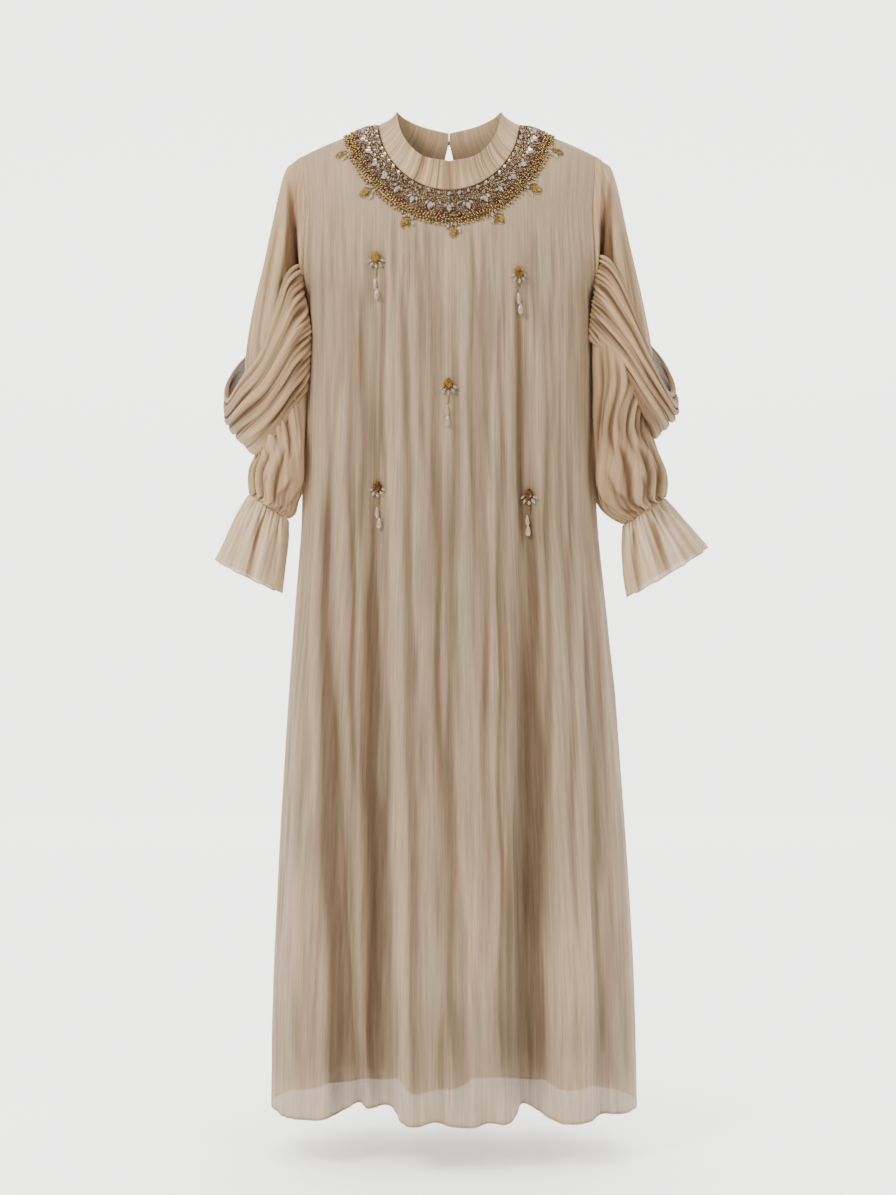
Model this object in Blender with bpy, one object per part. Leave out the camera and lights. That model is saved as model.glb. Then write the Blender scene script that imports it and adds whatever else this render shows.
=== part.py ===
import math

import bmesh
import bpy
from mathutils import Vector
from mathutils.bvhtree import BVHTree

# Cloth and seams
WALL = 0.0016
SEAM_GAP = 0.0003
COLLAR_LIFT = 0.0008
REST_GAP = 0.00045
MERGE_DISTANCE = 0.000001

# Lengths down from the shoulders
HEM_HEIGHT = -1.387
UNDERARM_HEIGHT = -0.235
WIDEST_ARMHOLE_HEIGHT = -0.140
SHOULDER_ROUNDING = 0.110
NECK_TOP_HEIGHT = 0.016
SECTION_POWER = 2.3
ARMHOLE_REACH = 0.60
HEM_LIFT_IN_FOLDS = 0.16
LEAST_PUSH_AHEAD = 0.2

# Neckline and collar
NECK_HALF_WIDTH = 0.101
NECK_FRONT_DEPTH = 0.095
NECK_BACK_DEPTH = 0.068
RIM_HALF_WIDTH = 0.0754
RIM_FRONT_DEPTH = 0.065
RIM_BACK_DEPTH = 0.050
COLLAR_ROWS = 4
COLLAR_WAIST = 0.0035
COLLAR_BACK_END = 0.01

# Numbers of columns round the pieces
FRONT_COLUMNS = 40
BACK_HALF_COLUMNS = 12
SLEEVE_FOLDS = 8
COLUMNS_PER_FOLD = 4
CUFF_WAVES = 10
SLING_COLUMNS = 11
SLING_PLEATS = 14

# Armhole corners shared out along each edge of the armhole
ARMHOLE_FIRST_ROW = 5
ARMHOLE_LAST_ROW = 10
ARMHOLE_SPLITS = (3, 2, 2, 2, 3)
ARMHOLE_EDGE_TURN = 0.15
UNDERARM_TURN = 0.90

# Lining
LINING_FIRST_ROW = 13
LINING_END_SHARE = 0.70
LINING_TOP_GAP = 0.0006
LINING_HANG_GAP = 0.0030
LINING_WALL = 0.0012

# Yoke band of beads
YOKE_LAST_ROW = 3
YOKE_BASE = 0.0014

# Rows of the panels: end of the row at the side (x, z), height at the front middle and the
# back middle, power of the row's curve, how far the row keeps to the neckline's oval,
# half width of the strip left open at the back
PANEL_ROWS = (
    (0.1010, 0.0140, -0.092, -0.028, 1.10, 1.00, 0.0022),
    (0.1155, 0.0122, -0.108, -0.046, 1.18, 0.62, 0.0030),
    (0.1300, 0.0065, -0.1235, -0.065, 1.22, 0.32, 0.0042),
    (0.1450, -0.0020, -0.139, -0.086, 1.25, 0.12, 0.0036),
    (0.1780, -0.0160, -0.168, -0.120, 1.28, 0.00, 0.0060),
    (0.2095, -0.0310, -0.195, -0.150, 1.30, 0.00, 0.0100),
    (None, -0.058, -0.215, -0.175, 1.30, 0.00, 0.0110),
    (None, -0.098, -0.235, -0.200, 1.30, 0.00, 0.0110),
    (None, -0.148, -0.255, -0.225, 1.30, 0.00, 0.0110),
    (None, -0.196, -0.275, -0.255, 1.30, 0.00, 0.0110),
    (None, -0.235, -0.300, -0.285, 1.30, 0.00, 0.0110),
    (None, -0.420, -0.420, -0.420, 1.00, 0.00, 0.0110),
    (None, -0.620, -0.620, -0.620, 1.00, 0.00, 0.0110),
    (None, -0.820, -0.820, -0.820, 1.00, 0.00, 0.0110),
    (None, -1.030, -1.030, -1.030, 1.00, 0.00, 0.0110),
    (None, -1.220, -1.220, -1.220, 1.00, 0.00, 0.0110),
    (None, HEM_HEIGHT, HEM_HEIGHT, HEM_HEIGHT, 1.00, 0.00, 0.0110),
)
SLIT_END_ROW = 3

# Shoulder seam: distance from the middle, height
SHOULDER_SEAM = (
    (0.1010, 0.0140),
    (0.1155, 0.0122),
    (0.1300, 0.0065),
    (0.1450, -0.0020),
    (0.1780, -0.0160),
    (0.2095, -0.0310),
    (0.2400, -0.0470),
)

# Body: height, half width, depth of the front, depth of the back, lean to the left side
BODY = (
    (0.030, 0.2095, 0.078, 0.066, 0.0),
    (-0.031, 0.2090, 0.088, 0.078, 0.0),
    (-0.070, 0.2055, 0.095, 0.086, 0.0),
    (-0.120, 0.2022, 0.105, 0.094, 0.0),
    (-0.185, 0.2050, 0.115, 0.100, 0.0),
    (-0.235, 0.2060, 0.120, 0.101, 0.0),
    (-0.420, 0.2080, 0.121, 0.100, 0.0),
    (-0.550, 0.2115, 0.120, 0.104, 0.0005),
    (-0.667, 0.2215, 0.122, 0.112, 0.0018),
    (-0.810, 0.2340, 0.126, 0.120, 0.0038),
    (-0.954, 0.2442, 0.130, 0.128, 0.0052),
    (-1.097, 0.2528, 0.134, 0.136, 0.0062),
    (-1.240, 0.2592, 0.138, 0.142, 0.0068),
    (-1.387, 0.2620, 0.142, 0.146, 0.0072),
)

# Folds of the front: x where it is high, x at the hem, height where it begins,
# depth at the hem (outward is positive), half width at the hem
FRONT_FOLDS = (
    (-0.205, -0.225, -0.45, 0.010, 0.022),
    (-0.168, -0.160, -0.35, -0.042, 0.017),
    (-0.106, -0.108, -0.14, -0.056, 0.031),
    (-0.066, -0.062, -0.20, 0.008, 0.016),
    (-0.022, -0.027, -0.14, -0.012, 0.016),
    (0.012, 0.020, -0.16, 0.006, 0.016),
    (0.044, 0.050, -0.14, -0.010, 0.016),
    (0.100, 0.112, -0.18, -0.060, 0.024),
    (0.160, 0.168, -0.30, 0.010, 0.020),
    (0.195, 0.215, -0.45, -0.012, 0.016),
)

# Folds of the back, with the same columns
BACK_FOLDS = (
    (-0.175, -0.195, -0.38, -0.030, 0.022),
    (-0.110, -0.128, -0.26, 0.012, 0.024),
    (-0.060, -0.068, -0.20, -0.042, 0.026),
    (0.005, 0.004, -0.30, 0.010, 0.026),
    (0.072, 0.080, -0.22, -0.046, 0.027),
    (0.130, 0.146, -0.30, 0.012, 0.024),
    (0.178, 0.202, -0.42, -0.026, 0.022),
)
FOLD_GROWTH = 1.3
FOLD_START_WIDTH = 0.55
FOLD_HIGH = -0.30
SIDE_CALM = 0.90

# Collar rim: angle round from the front in degrees, height
COLLAR_RIM = (
    (0.0, -0.0470),
    (30.0, -0.0375),
    (60.0, -0.0060),
    (80.0, 0.0215),
    (96.0, 0.0310),
    (120.0, 0.0240),
    (150.0, 0.0125),
    (180.0, 0.0060),
)

# Upper sleeve: outer point (x, z), inner point (x, z), half depth, pull of the deep fold
UPPER_SLEEVE = (
    (0.2098, -0.0310, 0.2064, -0.2352, 0.0680, 0.00),
    (0.2160, -0.0345, 0.2082, -0.2378, 0.0685, 0.00),
    (0.2232, -0.0410, 0.2105, -0.2430, 0.0670, 0.55),
    (0.2320, -0.0490, 0.2130, -0.2500, 0.0670, 0.05),
    (0.2410, -0.0760, 0.2145, -0.2640, 0.0660, 0.00),
    (0.2520, -0.1250, 0.2155, -0.2830, 0.0640, 0.00),
    (0.2660, -0.1850, 0.2160, -0.3040, 0.0610, 0.00),
    (0.2810, -0.2550, 0.2170, -0.3290, 0.0570, 0.00),
    (0.2925, -0.3250, 0.2185, -0.3540, 0.0530, 0.00),
    (0.2945, -0.3620, 0.2195, -0.3730, 0.0520, 0.00),
)
ARMHOLE_FIT = (1.0, 0.55, 0.2, 0.0)
PULL_SPREAD = 1.6
BACK_PULL_SHARE = 0.6

# Lower sleeve: outer point (x, z), inner point (x, z), half depth, height of the folds,
# turn of the folds in degrees
LOWER_SLEEVE_RIGHT = (
    (0.2945, -0.3623, 0.2195, -0.3733, 0.0520, 0.0000, 0.0),
    (0.2880, -0.3950, 0.2180, -0.4020, 0.0500, 0.0012, 0.0),
    (0.2885, -0.4250, 0.2170, -0.4320, 0.0520, 0.0022, 6.0),
    (0.3000, -0.4550, 0.2165, -0.4650, 0.0580, 0.0034, 16.0),
    (0.3095, -0.4800, 0.2165, -0.5000, 0.0600, 0.0036, 26.0),
    (0.3115, -0.5010, 0.2190, -0.5320, 0.0560, 0.0034, 34.0),
    (0.3095, -0.5165, 0.2320, -0.5470, 0.0460, 0.0026, 40.0),
    (0.3070, -0.5211, 0.2510, -0.5576, 0.0330, 0.0012, 42.0),
)
LOWER_SLEEVE_LEFT = (
    (0.2945, -0.3623, 0.2195, -0.3733, 0.0520, 0.0000, 0.0),
    (0.2860, -0.4000, 0.2185, -0.4070, 0.0500, 0.0012, 0.0),
    (0.2780, -0.4320, 0.2180, -0.4400, 0.0510, 0.0020, 8.0),
    (0.2755, -0.4560, 0.2185, -0.4700, 0.0560, 0.0030, 20.0),
    (0.2846, -0.4780, 0.2190, -0.5000, 0.0580, 0.0034, 30.0),
    (0.2865, -0.4970, 0.2205, -0.5250, 0.0540, 0.0032, 38.0),
    (0.2850, -0.5110, 0.2235, -0.5420, 0.0440, 0.0024, 44.0),
    (0.2837, -0.5154, 0.2323, -0.5500, 0.0310, 0.0012, 46.0),
)

# Cuff ruffle: outer point (x, z), inner point (x, z), half depth, height of the waves
CUFF_RIGHT = (
    (0.3072, -0.5214, 0.2512, -0.5579, 0.0330, 0.0012),
    (0.3275, -0.5470, 0.2520, -0.5900, 0.0410, 0.0045),
    (0.3480, -0.5720, 0.2555, -0.6250, 0.0490, 0.0065),
    (0.3660, -0.5950, 0.2620, -0.6585, 0.0550, 0.0080),
)
CUFF_LEFT = (
    (0.2839, -0.5157, 0.2325, -0.5503, 0.0310, 0.0012),
    (0.3000, -0.5450, 0.2345, -0.5850, 0.0370, 0.0040),
    (0.3155, -0.5800, 0.2390, -0.6200, 0.0430, 0.0056),
    (0.3300, -0.6120, 0.2450, -0.6540, 0.0480, 0.0070),
)

# Sling of the sleeve, from the front gather round the outside to the back gather:
# rim point (x, y, z), lower edge point (x, y, z), bulge, height of the pleats
SLING_RIGHT = (
    (0.2095, -0.0655, -0.178, 0.2140, -0.0480, -0.303, 0.004, 0.0016),
    (0.2290, -0.0730, -0.192, 0.2340, -0.0640, -0.327, 0.008, 0.0018),
    (0.2534, -0.0780, -0.2405, 0.2540, -0.0660, -0.358, 0.012, 0.0018),
    (0.2777, -0.0740, -0.303, 0.2720, -0.0580, -0.388, 0.014, 0.0015),
    (0.3000, -0.0520, -0.354, 0.2890, -0.0420, -0.414, 0.016, 0.0012),
    (0.3165, -0.0180, -0.3725, 0.2985, -0.0150, -0.431, 0.016, 0.0010),
    (0.3250, 0.0180, -0.360, 0.2995, 0.0150, -0.428, 0.016, 0.0011),
    (0.3120, 0.0520, -0.322, 0.2900, 0.0420, -0.408, 0.016, 0.0013),
    (0.2840, 0.0730, -0.284, 0.2720, 0.0590, -0.380, 0.014, 0.0015),
    (0.2520, 0.0770, -0.236, 0.2520, 0.0660, -0.350, 0.012, 0.0018),
    (0.2270, 0.0730, -0.200, 0.2330, 0.0630, -0.325, 0.008, 0.0018),
    (0.2095, 0.0655, -0.186, 0.2140, 0.0480, -0.303, 0.004, 0.0016),
)
SLING_LEFT = (
    (0.2095, -0.0640, -0.190, 0.2130, -0.0460, -0.345, 0.006, 0.0020),
    (0.2250, -0.0720, -0.2065, 0.2260, -0.0630, -0.398, 0.008, 0.0022),
    (0.2420, -0.0770, -0.250, 0.2400, -0.0680, -0.421, 0.012, 0.0020),
    (0.2640, -0.0750, -0.311, 0.2550, -0.0640, -0.437, 0.016, 0.0016),
    (0.2914, -0.0560, -0.350, 0.2690, -0.0500, -0.448, 0.018, 0.0013),
    (0.3150, -0.0200, -0.381, 0.2840, -0.0180, -0.4535, 0.016, 0.0011),
    (0.3215, 0.0160, -0.360, 0.2865, 0.0160, -0.450, 0.016, 0.0012),
    (0.3097, 0.0500, -0.3313, 0.2770, 0.0450, -0.436, 0.016, 0.0014),
    (0.2840, 0.0710, -0.300, 0.2600, 0.0600, -0.415, 0.014, 0.0018),
    (0.2520, 0.0770, -0.250, 0.2440, 0.0660, -0.395, 0.012, 0.0020),
    (0.2270, 0.0720, -0.212, 0.2280, 0.0640, -0.380, 0.008, 0.0022),
    (0.2095, 0.0640, -0.196, 0.2130, 0.0460, -0.345, 0.006, 0.0020),
)
SLING_CENTRE_X = 0.258
SLING_SWELL_DEPTH_SHARE = 0.8
GATHER_LOW_END = -0.360
GATHER_GAP = 0.0005

# Raised beads of the yoke band: row of the band, first column, step, height
YOKE_BEADS = (
    (0, 0, 2, 0.0008),
    (1, 1, 2, 0.0016),
    (1, 0, 2, 0.0004),
    (2, 0, 4, 0.0030),
    (2, 2, 4, 0.0016),
    (2, 1, 2, 0.0006),
    (3, 1, 2, 0.0010),
)

# Fan motifs under the yoke band: name, angle round the band's lower edge in degrees
MOTIFS = (
    ("motif_far_left", -72.0),
    ("motif_left", -46.0),
    ("motif_middle_left", -21.0),
    ("motif_centre", 2.4),
    ("motif_middle_right", 25.0),
    ("motif_right", 48.5),
    ("motif_far_right", 74.0),
)
MOTIF_GAP = 0.0006
MOTIF_WIDTH = 0.0190
MOTIF_TIP_SHARE = 0.45
MOTIF_LENGTH = 0.0220
MOTIF_THICKNESS = 0.0040
MOTIF_FACE_SHARE = 0.62
MOTIF_SIDES = 8
MOTIF_SLOPE_REACH = 0.008

# Hanging drops: name, x, z of the top
DROPS = (
    ("drop_top_left", -0.1006, -0.1796),
    ("drop_top_right", 0.0959, -0.2002),
    ("drop_middle", -0.0008, -0.3558),
    ("drop_low_left", -0.0981, -0.4974),
    ("drop_low_right", 0.1118, -0.5081),
)

# Shape of a drop: length down from the top, half width, half thickness
DROP_FORM = (
    (0.0000, 0.0028, 0.0014),
    (0.0040, 0.0062, 0.0030),
    (0.0100, 0.0064, 0.0036),
    (0.0155, 0.0090, 0.0030),
    (0.0215, 0.0076, 0.0024),
    (0.0245, 0.0020, 0.0014),
    (0.0340, 0.0014, 0.0012),
    (0.0375, 0.0020, 0.0016),
    (0.0470, 0.0042, 0.0030),
    (0.0590, 0.0050, 0.0034),
    (0.0650, 0.0016, 0.0012),
)
DROP_SIDES = 6

# Button and loop at the back of the collar
BUTTON_RADIUS = 0.0032
BUTTON_HEIGHT = -0.0030
BUTTON_REST = 0.0558
LOOP_RADIUS = 0.0050
LOOP_CORD_RADIUS = 0.0006
LOOP_REST = 0.0543
LOOP_SLOPE = 28.0
BUTTON_SEGMENTS = 10
BUTTON_RINGS = 6
LOOP_SEGMENTS = 14
CORD_SIDES = 5

COLOURS = {
    "taupe_chiffon": ((0.545, 0.451, 0.357), 0.85, 0.0),
    "taupe_chiffon_back": ((0.500, 0.411, 0.322), 0.85, 0.0),
    "sleeve_chiffon": ((0.590, 0.480, 0.352), 0.85, 0.0),
    "sheer_cuff": ((0.640, 0.520, 0.380), 0.80, 0.0),
    "lining_crepe": ((0.420, 0.330, 0.240), 0.75, 0.0),
    "collar_chiffon": ((0.620, 0.520, 0.420), 0.80, 0.0),
    "beadwork": ((0.330, 0.220, 0.100), 0.30, 0.7),
    "amber_and_crystal": ((0.560, 0.340, 0.060), 0.15, 0.3),
    "crystal_and_pearl": ((0.620, 0.520, 0.400), 0.20, 0.1),
    "aged_brass": ((0.400, 0.300, 0.150), 0.35, 1.0),
    "cord": ((0.480, 0.400, 0.310), 0.80, 0.0),
}


def clear_scene():
    for item in list(bpy.data.objects):
        bpy.data.objects.remove(item, do_unlink=True)


def make_collection():
    collection = bpy.data.collections.new("abaya")
    bpy.context.scene.collection.children.link(collection)
    return collection


def make_materials():
    materials = {}
    for name, (colour, roughness, metallic) in COLOURS.items():
        material = bpy.data.materials.new(name)
        material.use_nodes = True
        shader = material.node_tree.nodes["Principled BSDF"]
        shader.inputs["Base Color"].default_value = (*colour, 1.0)
        shader.inputs["Roughness"].default_value = roughness
        shader.inputs["Metallic"].default_value = metallic
        material.diffuse_color = (*colour, 1.0)
        materials[name] = material
    return materials


def follow(rows, at, column):
    """Smooth value of a column of a table whose first column runs one way."""
    keys = [row[0] for row in rows]
    values = [row[column] for row in rows]
    if keys[0] > keys[-1]:
        keys = keys[::-1]
        values = values[::-1]
    at = min(max(at, keys[0]), keys[-1])
    place = 0
    while place < len(keys) - 2 and at > keys[place + 1]:
        place += 1
    return curve_between(keys, values, place, at)


def curve_between(keys, values, place, at):
    """Cubic through the values at a place, with slopes from the neighbours."""
    span = keys[place + 1] - keys[place]
    share = (at - keys[place]) / span
    slopes = []
    for middle in (place, place + 1):
        low = max(middle - 1, 0)
        high = min(middle + 1, len(keys) - 1)
        slopes.append((values[high] - values[low]) / (keys[high] - keys[low]) * span)
    square = share * share
    cube = square * share
    return (
        (2.0 * cube - 3.0 * square + 1.0) * values[place]
        + (cube - 2.0 * square + share) * slopes[0]
        + (3.0 * square - 2.0 * cube) * values[place + 1]
        + (cube - square) * slopes[1]
    )


def shoulder_height(x):
    if abs(x) < NECK_HALF_WIDTH:
        return NECK_TOP_HEIGHT
    return follow(SHOULDER_SEAM, abs(x), 1)


def armhole_share(z):
    """How far the side edge stands forward, as a share of the body's depth."""
    if z <= UNDERARM_HEIGHT:
        return 0.0
    if z >= WIDEST_ARMHOLE_HEIGHT:
        return ARMHOLE_REACH
    drop = (WIDEST_ARMHOLE_HEIGHT - z) / (WIDEST_ARMHOLE_HEIGHT - UNDERARM_HEIGHT)
    return ARMHOLE_REACH * math.sqrt(1.0 - drop * drop)


def section_share(x, z):
    """Depth at x as a share of the depth at the middle."""
    width = follow(BODY, z, 1)
    share = armhole_share(z)
    reach = width / (1.0 - share**SECTION_POWER) ** (1.0 / SECTION_POWER)
    part = min(abs(x) / reach, 1.0)
    return (1.0 - part**SECTION_POWER) ** (1.0 / SECTION_POWER)


def shoulder_share(x, z):
    """Rounding of the cloth over the shoulders."""
    drop = (shoulder_height(x) - z) / SHOULDER_ROUNDING
    drop = min(max(drop, 0.0), 1.0)
    return math.sqrt(1.0 - (1.0 - drop) ** 2)


def fold_push(folds, x, z):
    total = 0.0
    for high_x, hem_x, start, depth, half_width in folds:
        if z >= start:
            continue
        grown = (start - z) / (start - HEM_HEIGHT)
        down = min(max((FOLD_HIGH - z) / (FOLD_HIGH - HEM_HEIGHT), 0.0), 1.0)
        middle = high_x + (hem_x - high_x) * down
        width = half_width * (FOLD_START_WIDTH + (1.0 - FOLD_START_WIDTH) * grown)
        away = (x - middle) / width
        total += depth * grown**FOLD_GROWTH * math.exp(-away * away)
    part = abs(x) / follow(BODY, z, 1)
    if part > SIDE_CALM:
        total *= max(0.0, (1.0 - part) / (1.0 - SIDE_CALM))
    return total


def panel_point(facing, x, z, folds):
    """Point of the front (facing -1) or back (facing 1) with its folds."""
    column = 2 if facing < 0.0 else 3
    depth = follow(BODY, z, column)
    width = follow(BODY, z, 1)
    y = depth * section_share(x, z) * shoulder_share(x, z)
    push = fold_push(folds, x, z)
    side = x / width * depth / width
    ahead = max(section_share(x, z), LEAST_PUSH_AHEAD)
    length = math.hypot(side, ahead)
    lean = follow(BODY, z, 4)
    return Vector((x + lean + push * side / length, facing * (y + push * ahead / length), z))


def panel_grid(facing, angles, folds, strip):
    """Rows of points of a panel, from the neckline and shoulders down to the hem."""
    neck_depth = NECK_FRONT_DEPTH if facing < 0.0 else NECK_BACK_DEPTH
    grid = []
    first = []
    for number, row in enumerate(PANEL_ROWS):
        end_x, end_z, front_z, back_z, power, hold, open_half = row
        middle_z = front_z if facing < 0.0 else back_z
        if end_x is None:
            end_x = follow(BODY, end_z, 1)
        points = []
        for place, angle in enumerate(angles):
            z = end_z - (end_z - middle_z) * max(math.cos(angle), 0.0) ** power
            x = end_x * math.sin(angle)
            if ARMHOLE_FIRST_ROW <= number < ARMHOLE_LAST_ROW:
                x *= min(follow(BODY, z, 1) / follow(BODY, end_z, 1), 1.0)
            if strip and place in strip:
                x = math.copysign(open_half, angle)
            point = panel_point(facing, x, z, folds)
            if number == len(PANEL_ROWS) - 1:
                point.z -= HEM_LIFT_IN_FOLDS * min(fold_push(folds, x, z), 0.0)
            if number == 0:
                oval = facing * neck_depth * max(math.cos(angle), 0.0)
                first.append(oval - point.y)
            point.y += first[place] * hold
            if place in (0, len(angles) - 1):
                if number < ARMHOLE_FIRST_ROW + 1 or number >= ARMHOLE_LAST_ROW:
                    point.y = facing * SEAM_GAP / 2.0
            points.append(point)
        grid.append(points)
    return grid


def grid_normals(grid, ring=False):
    """Normals at the points of a grid, from its neighbours."""
    normals = []
    last_row = len(grid) - 1
    count = len(grid[0])
    for row in range(len(grid)):
        line = []
        for place in range(count):
            if ring:
                before = grid[row][(place - 1) % count]
                after = grid[row][(place + 1) % count]
            else:
                before = grid[row][max(place - 1, 0)]
                after = grid[row][min(place + 1, count - 1)]
            above = grid[max(row - 1, 0)][place]
            below = grid[min(row + 1, last_row)][place]
            normal = (after - before).cross(above - below)
            line.append(normal.normalized())
        normals.append(line)
    return normals


def surface(grid, ring=False):
    """Open surface through a grid of points, made from a flat grid."""
    rows = [list(line) + [line[0]] if ring else list(line) for line in grid]
    bm = bmesh.new()
    bmesh.ops.create_grid(
        bm, x_segments=len(rows[0]) - 1, y_segments=len(rows) - 1, size=0.5
    )
    bmesh.ops.triangulate(bm, faces=bm.faces[:], quad_method="FIXED")
    bm.verts.ensure_lookup_table()
    count = len(rows[0])
    for number, line in enumerate(rows):
        for place, point in enumerate(line):
            bm.verts[number * count + place].co = point
    if ring:
        bmesh.ops.remove_doubles(bm, verts=bm.verts[:], dist=MERGE_DISTANCE)
    return bm


def outward_normals(grid, inside, ring=False):
    """Normals of a grid, all turned to look away from the inside."""
    normals = grid_normals(grid, ring)
    total = 0.0
    for line, points in zip(normals, grid):
        for normal, point in zip(line, points):
            total += normal.dot(point - inside(point))
    if total < 0.0:
        normals = [[-normal for normal in line] for line in normals]
    return normals


def wall_from(bm, grid, normals, thickness, ring=False):
    """Closes an open surface into a wall, its inside moved in along the normals."""
    inward = bm.verts.layers.float_vector.new("inward")
    count = len(grid[0])
    place_of = {}
    for number, line in enumerate(grid):
        for place, point in enumerate(line):
            place_of[point.to_tuple(6)] = normals[number][place % count]
    for vert in bm.verts:
        vert[inward] = place_of[vert.co.to_tuple(6)] * -thickness
    made = bmesh.ops.extrude_face_region(bm, geom=bm.faces[:], use_keep_orig=True)
    for part in made["geom"]:
        if isinstance(part, bmesh.types.BMVert):
            part.co += part[inward]
    bmesh.ops.recalc_face_normals(bm, faces=bm.faces[:])


def add_object(bm, name, collection, material, smooth=True):
    mesh = bpy.data.meshes.new(name)
    for face in bm.faces:
        face.smooth = smooth
    bm.to_mesh(mesh)
    bm.free()
    mesh.materials.append(material)
    item = bpy.data.objects.new(name, mesh)
    collection.objects.link(item)
    return item


def cloth(name, grid, normals, collection, material, ring=False, thickness=WALL):
    bm = surface(grid, ring)
    wall_from(bm, grid, normals, thickness, ring)
    return add_object(bm, name, collection, material)


def mirrored(grid):
    return [[Vector((-point.x, point.y, point.z)) for point in line] for line in grid]


def body_axis(point):
    return Vector((0.0, 0.0, point.z))


def make_panels(collection, materials):
    quarter = math.pi / 2.0
    front_angles = [
        -quarter + math.pi * place / FRONT_COLUMNS for place in range(FRONT_COLUMNS + 1)
    ]
    step = quarter / (BACK_HALF_COLUMNS + 0.5)
    back_angles = [quarter - step * place for place in range(BACK_HALF_COLUMNS + 1)]
    back_angles += [-angle for angle in reversed(back_angles)]
    strip = (BACK_HALF_COLUMNS, BACK_HALF_COLUMNS + 1)
    front = panel_grid(-1.0, front_angles, FRONT_FOLDS, ())
    back = panel_grid(1.0, back_angles, BACK_FOLDS, strip)
    front_normals = panel_normals(front)
    back_normals = panel_normals(back)
    cloth("front_panel", front, front_normals, collection, materials["taupe_chiffon"])
    bm = surface(back)
    slit = []
    for face in bm.faces:
        columns = {vert.index % len(back_angles) for vert in face.verts}
        rows = {vert.index // len(back_angles) for vert in face.verts}
        if columns <= set(strip) and max(rows) <= SLIT_END_ROW:
            slit.append(face)
    bmesh.ops.delete(bm, geom=slit, context="FACES")
    wall_from(bm, back, back_normals, WALL)
    add_object(bm, "back_panel", collection, materials["taupe_chiffon_back"])
    return front, back, front_normals


def panel_normals(grid):
    """Outward normals of a panel, level with the seam along both side edges."""
    normals = outward_normals(grid, body_axis)
    top = grid[ARMHOLE_FIRST_ROW][0].z
    bottom = grid[ARMHOLE_LAST_ROW][0].z
    for number, line in enumerate(normals):
        for place in (0, -1):
            if ARMHOLE_FIRST_ROW < number < ARMHOLE_LAST_ROW:
                point = grid[number][place]
                lean, side, low = armhole_place(point, top, bottom)
                out = math.copysign(ARMHOLE_EDGE_TURN + low, point.x)
                line[place] = Vector((out, side * (1.0 - low), max(lean, 0.0))).normalized()
            else:
                line[place] = Vector((line[place].x, 0.0, line[place].z)).normalized()
    return normals


def armhole_place(point, top, bottom):
    """Height round the armhole as a cosine, its sine to the front or back, lowness."""
    lean = (2.0 * point.z - top - bottom) / (top - bottom)
    lean = min(max(lean, -1.0), 1.0)
    side = math.copysign(math.sqrt(1.0 - lean * lean), point.y)
    return lean, side, ((1.0 - lean) / 2.0) ** 2


def make_lining(front, back, collection, material):
    """Slip that hangs inside both panels, round the lower skirt."""
    last = len(front) - 1
    rings = []
    for number in range(LINING_FIRST_ROW, last):
        rings.append(join_round(front[number], back[number]))
    hem = join_round(front[last], back[last])
    end = [
        above.lerp(below, LINING_END_SHARE) for above, below in zip(rings[-1], hem)
    ]
    rings.append(end)
    normals = outward_normals(rings, body_axis, ring=True)
    moved = []
    for number, ring in enumerate(rings):
        gap = WALL + (LINING_TOP_GAP if number == 0 else LINING_HANG_GAP)
        moved.append([point - normals[number][place] * gap for place, point in enumerate(ring)])
    cloth("lining", moved, normals, collection, material, True, LINING_WALL)


def join_round(front_row, back_row):
    """Ring of points from a row of the front and a row of the back."""
    start = Vector((front_row[0].x, 0.0, front_row[0].z))
    end = Vector((front_row[-1].x, 0.0, front_row[-1].z))
    return [start] + front_row[1:-1] + [end] + back_row[1:-1]


def make_collar(front, back, collection, material):
    """Stand collar, open at the middle of the back."""
    half = BACK_HALF_COLUMNS
    right_back = [back[0][place] for place in range(2, half + 1, 2)]
    left_back = [back[0][place] for place in range(half + 1, 2 * half + 1, 2)]
    front_line = [front[0][place].copy() for place in range(0, FRONT_COLUMNS + 1, 2)]
    front_line[0].y = 0.0
    front_line[-1].y = 0.0
    base = left_back + front_line + right_back
    grid = [[] for _ in range(COLLAR_ROWS + 1)]
    for point in base:
        depth = NECK_FRONT_DEPTH if point.y <= 0.0 else NECK_BACK_DEPTH
        angle = math.atan2(abs(point.x) / NECK_HALF_WIDTH, -point.y / depth)
        rim_depth = RIM_FRONT_DEPTH if point.y <= 0.0 else RIM_BACK_DEPTH
        rim_x = math.copysign(RIM_HALF_WIDTH * math.sin(angle), point.x)
        if point.y > 0.0 and abs(point.x) < COLLAR_BACK_END:
            rim_x = point.x
        rim_z = follow(COLLAR_RIM, math.degrees(angle), 1)
        rim = Vector((rim_x, -rim_depth * math.cos(angle), rim_z))
        upward = (rim - point).normalized()
        inward = Vector((-point.x, -point.y, 0.0)).normalized()
        foot = point + upward * COLLAR_LIFT
        for row in range(COLLAR_ROWS + 1):
            share = row / COLLAR_ROWS
            waist = COLLAR_WAIST * math.sin(math.pi * share)
            grid[row].append(foot.lerp(rim, share) + inward * waist)
    normals = outward_normals(grid, body_axis)
    cloth("collar", grid, normals, collection, material)


def armhole_ring(front, back):
    """Points round the armhole: down the front from the shoulder, up the back."""
    down = [front[row][-1] for row in range(ARMHOLE_FIRST_ROW, ARMHOLE_LAST_ROW + 1)]
    up = [back[row][0] for row in range(ARMHOLE_FIRST_ROW, ARMHOLE_LAST_ROW + 1)]
    down = [Vector(point) for point in down]
    up = [Vector(point) for point in up]
    for line in (down, up):
        line[0].y = 0.0
        line[-1].y = 0.0
    points = []
    for line, splits in ((down, ARMHOLE_SPLITS), (up[::-1], ARMHOLE_SPLITS[::-1])):
        for place, count in enumerate(splits):
            for part in range(count):
                points.append(line[place].lerp(line[place + 1], part / count))
    return points


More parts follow.
